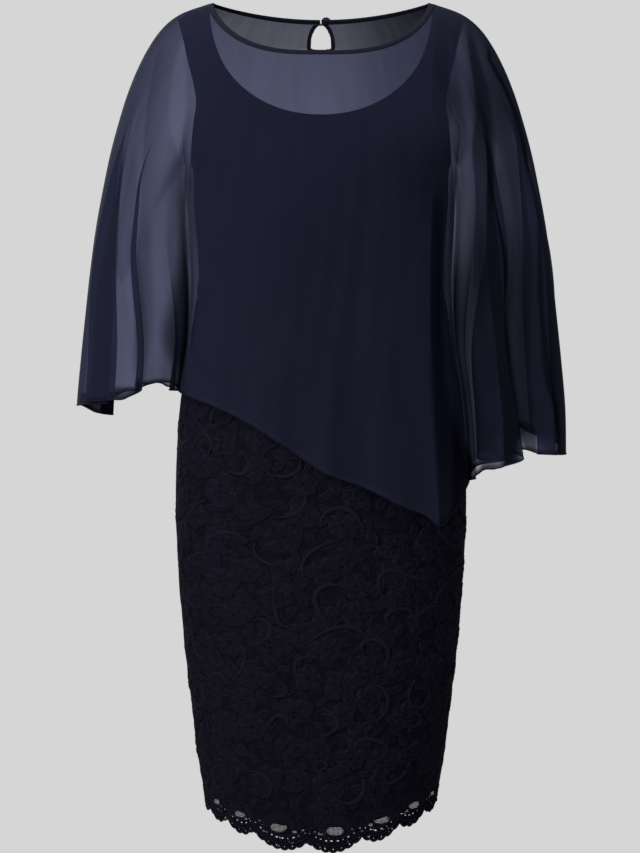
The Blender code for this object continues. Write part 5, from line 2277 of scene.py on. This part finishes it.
    def ribbon(self, flat: Array, wide: Array) -> Cloth:
        """A soft raised band along a path on the lace.

        Args:
            flat: N by 2 places, along the hem and up.
            wide: half-width at each place.

        Returns:
            The band.
        """
        run = np.gradient(flat, axis=0)
        run /= np.linalg.norm(run, axis=1, keepdims=True)
        across = np.stack([-run[:, 1], run[:, 0]], axis=1)
        b = np.array(BAND_ACROSS)
        places = flat[:, None] + (wide[:, None] * b)[..., None] * across[:, None]
        rounded = self.scroll_lift + self.scroll_rise * (1.0 - b**2) ** 0.6
        high = self.ground_lift + np.where(np.abs(b) == 1.0, -0.0001, rounded)
        outward = np.broadcast_to(high, places.shape[:2])
        points = self.wrapped(places.reshape(-1, 2), outward.ravel())
        uvs = np.stack(np.broadcast_arrays(run_length(flat)[:, None], 0.002 * b[None, :]), axis=-1)
        # painted light on the band's raised middle, painted shade at its edges
        painted_relief_light = np.broadcast_to(np.array(BAND_PAINTED_LIGHT), places.shape[:2]).ravel()
        return Cloth(points, grid_faces(len(flat), len(b)), uvs.reshape(-1, 2), painted_relief_light)

    def scrolls(self) -> list:
        """Long curling bands.

        Returns:
            The bands.
        """
        rng = np.random.default_rng(SEEDS[self.side].scrolls)
        field = (self.half_girth - 0.02, self.hem_side + 0.04, WAIST)
        parts = []
        for place in scattered(rng, *field, self.scroll_room, self.scroll_tries):
            turn = rng.uniform(0.0, 2 * math.pi)
            length = rng.uniform(0.03, 0.075)
            bend = rng.choice([-1.0, 1.0]) * rng.uniform(2.2, 4.4)
            snake = rng.uniform(-0.45, 0.45)
            t = np.linspace(0.0, 1.0, self.scroll_points)
            heading = turn + bend * t**1.6 + snake * np.sin(2 * math.pi * t)
            steps = np.stack([np.cos(heading), np.sin(heading)], axis=1)
            steps *= length / (self.scroll_points - 1)
            flat = place + np.cumsum(steps, axis=0) - steps.sum(axis=0) / 2
            if np.abs(flat[:, 0]).max() > self.half_girth - 0.004:
                continue
            if (flat[:, 1] < self.hem(flat[:, 0]) + self.scroll_clear).any():
                continue
            widest = rng.uniform(0.0014, 0.0026)
            wide = 0.0007 + widest * np.sin(math.pi * np.clip(t, 0.03, 0.97)) ** 0.7
            parts.append(self.ribbon(flat, wide))
        return parts

    def cord(self, flat: Array, outward: float, radius: float) -> Cloth:
        """A thin cord laid along a flat path."""
        return tube(self.wrapped(flat, outward), radius, 5)

    def border(self) -> list:
        """Cords, hole rings and window rims of the scalloped edge, and the side seams.

        Returns:
            The cords.
        """
        lift = self.cord_lift
        half = self.half_girth - 0.0012
        stations = np.linspace(-half, half, 700)
        edge = np.stack([stations, self.edge(stations) + 0.0006], axis=1)
        parts = [self.cord(edge, lift, self.edge_radius)]
        for cord in CORDS:
            flat = np.stack([stations, self.hem(stations) + cord.inset], axis=1)[::2]
            parts.append(self.cord(flat, lift + 0.0001, cord.radius))
        for hole in self.holes():
            ring = hole.ring(0.0004, 12)
            ring = np.concatenate([ring, ring[:1]])
            parts.append(self.cord(ring, lift, self.ring_radius))
        if self.side is Side.FRONT:
            for end in (-self.half_girth, self.half_girth):
                foot = float(self.edge(end)) + 0.001
                heights = np.linspace(WAIST - 0.002, foot, 60)
                flat = np.stack([np.full_like(heights, end), heights], axis=1)
                seam = self.wrapped(flat, lift - 0.0001)
                parts.append(tube(seam, self.seam_radius, 6))
        turns = np.linspace(0.0, 2 * math.pi, 25)
        oval = np.stack([np.cos(turns), np.sin(turns)], axis=1)
        for window in self.windows():
            rim = (window.along, window.height) + oval * (window.half_long, window.half_high)
            parts.append(self.cord(rim, lift, self.rim_radius))
        return parts

    def fans(self) -> list:
        """Small petals worked round the upper half of each large window.

        Returns:
            The petals.
        """
        motifs = []
        for window in self.windows():
            if window.half_high < 0.6 * self.window_height:
                continue
            for tilt in np.linspace(0.0, math.pi, self.fan_petals):
                along = window.along + (window.half_long + 0.0006) * math.cos(tilt)
                height = window.height + (window.half_high + 0.0006) * math.sin(tilt)
                length = 0.0095 + 0.003 * math.sin(tilt)
                if abs(along) < self.half_girth - 0.014:
                    petal = Motif(along, height, tilt, length, 0.003, 0.0007, 0.0002, 0.8)
                    motifs.append(petal)
        return motifs

    def build(self) -> None:
        """Builds the panel: ground, motifs and border."""
        word = self.side.word
        name, node = "lace_net_" + word, "lace_skirt_" + word
        net = self.ground().placed(name, Net().made(name), node, [node])
        thread = LaceThread().made("lace_thread_" + word)
        petals = [self.petal(motif) for motif in self.flowers() + self.fans()]
        flowers = Cloth.joined(petals).placed("lace_flowers_" + word, thread, node)
        raised = Cloth.joined(self.scrolls() + self.border())
        cords = raised.placed("lace_cords_" + word, thread, node)
        LOG.info("lace %s: %d petals, %d net faces", word, len(petals), len(net.data.polygons))


# Stage


class Lamp(NamedTuple):
    """One soft box: its place, its width and height, and its power."""

    name: str
    place: tuple[float, float, float]
    size: tuple[float, float]
    power: float


LAMPS = (
    Lamp("key", (-1.7, -1.9, 0.55), (1.1, 1.6), 48.0),
    Lamp("fill", (0.9, -2.8, 0.1), (1.6, 1.6), 9.0),
    Lamp("top", (-0.2, 0.3, 1.7), (1.6, 1.2), 14.0),
    Lamp("rim", (-1.4, 2.0, 0.4), (1.2, 1.6), 14.0),
)


@dataclass
class Studio:
    """Floor, soft lights, pale surroundings and the camera."""

    pale: Colour = (0.672, 0.672, 0.672)
    sky: Colour = (0.86, 0.92, 1.0)
    ambient: float = 0.22
    floor_half: float = 40.0
    floor_height: float = -1.45
    lit_height: float = -0.45
    camera_x: float = -0.0012
    camera_distance: float = 3.0
    camera_height: float = -0.3
    aim_height: float = -0.503
    lens: float = 105.85
    sensor: float = 36.0

    def floor(self) -> None:
        """Builds the plain pale floor."""
        mesh = bpy.data.meshes.new("floor")
        half = self.floor_half
        corners = [(-half, -half, 0), (half, -half, 0), (half, half, 0), (-half, half, 0)]
        mesh.from_pydata(corners, [], [(0, 1, 2, 3)])
        made = bpy.data.objects.new("floor", mesh)
        made.location.z = self.floor_height
        material = bpy.data.materials.new("pale_floor")
        graph = Graph(material)
        graph.paint(opaque((0.0, 0.0, 0.0)), 1.0, 0.0)
        graph.set("Emission Color", opaque(self.pale))
        graph.set("Emission Strength", 1.0)
        mesh.materials.append(material)
        bpy.context.scene.collection.objects.link(made)
        made.visible_diffuse = False
        made.visible_glossy = False

    def world(self) -> None:
        """Pale surroundings that light the dress only softly."""
        world = bpy.data.worlds.new("studio")
        graph = Graph(world)
        backdrop = graph.tree.nodes["Background"]
        graph.feed(backdrop.inputs["Color"], opaque(self.pale))
        seen = Value(graph, backdrop.outputs[0])
        light = {"Color": opaque(self.sky), "Strength": self.ambient}
        soft = graph.node("ShaderNodeBackground", {}, light)
        straight = graph.node("ShaderNodeLightPath", {}, {}, "Is Camera Ray")
        graph.shown(graph.node("ShaderNodeMixShader", {}, {0: straight, 1: soft, 2: seen}))
        bpy.context.scene.world = world

    def hang(self, lamp: Lamp) -> None:
        """Hangs one soft box that points at the dress.

        Args:
            lamp: the soft box.
        """
        light = bpy.data.lights.new(lamp.name, "AREA")
        light.shape = "RECTANGLE"
        light.size, light.size_y = lamp.size
        light.energy = lamp.power
        made = bpy.data.objects.new(lamp.name, light)
        made.location = lamp.place
        aim = Vector((0.0, 0.0, self.lit_height)) - Vector(lamp.place)
        made.rotation_euler = aim.to_track_quat("-Z", "Y").to_euler()
        bpy.context.scene.collection.objects.link(made)

    def camera(self) -> None:
        """Places the camera level with the waist, looking slightly down."""
        data = bpy.data.cameras.new("camera")
        data.lens = self.lens
        data.sensor_width = self.sensor
        data.sensor_fit = "AUTO"
        made = bpy.data.objects.new("camera", data)
        made.location = (self.camera_x, -self.camera_distance, self.camera_height)
        tilt = math.atan2(self.camera_height - self.aim_height, self.camera_distance)
        made.rotation_euler = (math.pi / 2 - tilt, 0.0, 0.0)
        bpy.context.scene.collection.objects.link(made)
        bpy.context.scene.camera = made

    def build(self) -> None:
        """Builds the whole stage."""
        self.floor()
        self.world()
        for lamp in LAMPS:
            self.hang(lamp)
        self.camera()
        bpy.context.scene.view_settings.view_transform = "Standard"
        LOG.info("stage")


def main() -> None:
    """Builds the dress and its stage in order."""
    logging.basicConfig(level=logging.INFO, format="%(name)s: %(message)s")
    Studio().build()
    for part in (Slip, Bodice, Lace):
        for side in Side:
            part(side).build()
    cape = Cape()
    cape.build()
    NeckBinding(cape).build()
    Keyhole(cape).build()


if __name__ == "__main__":
    main()
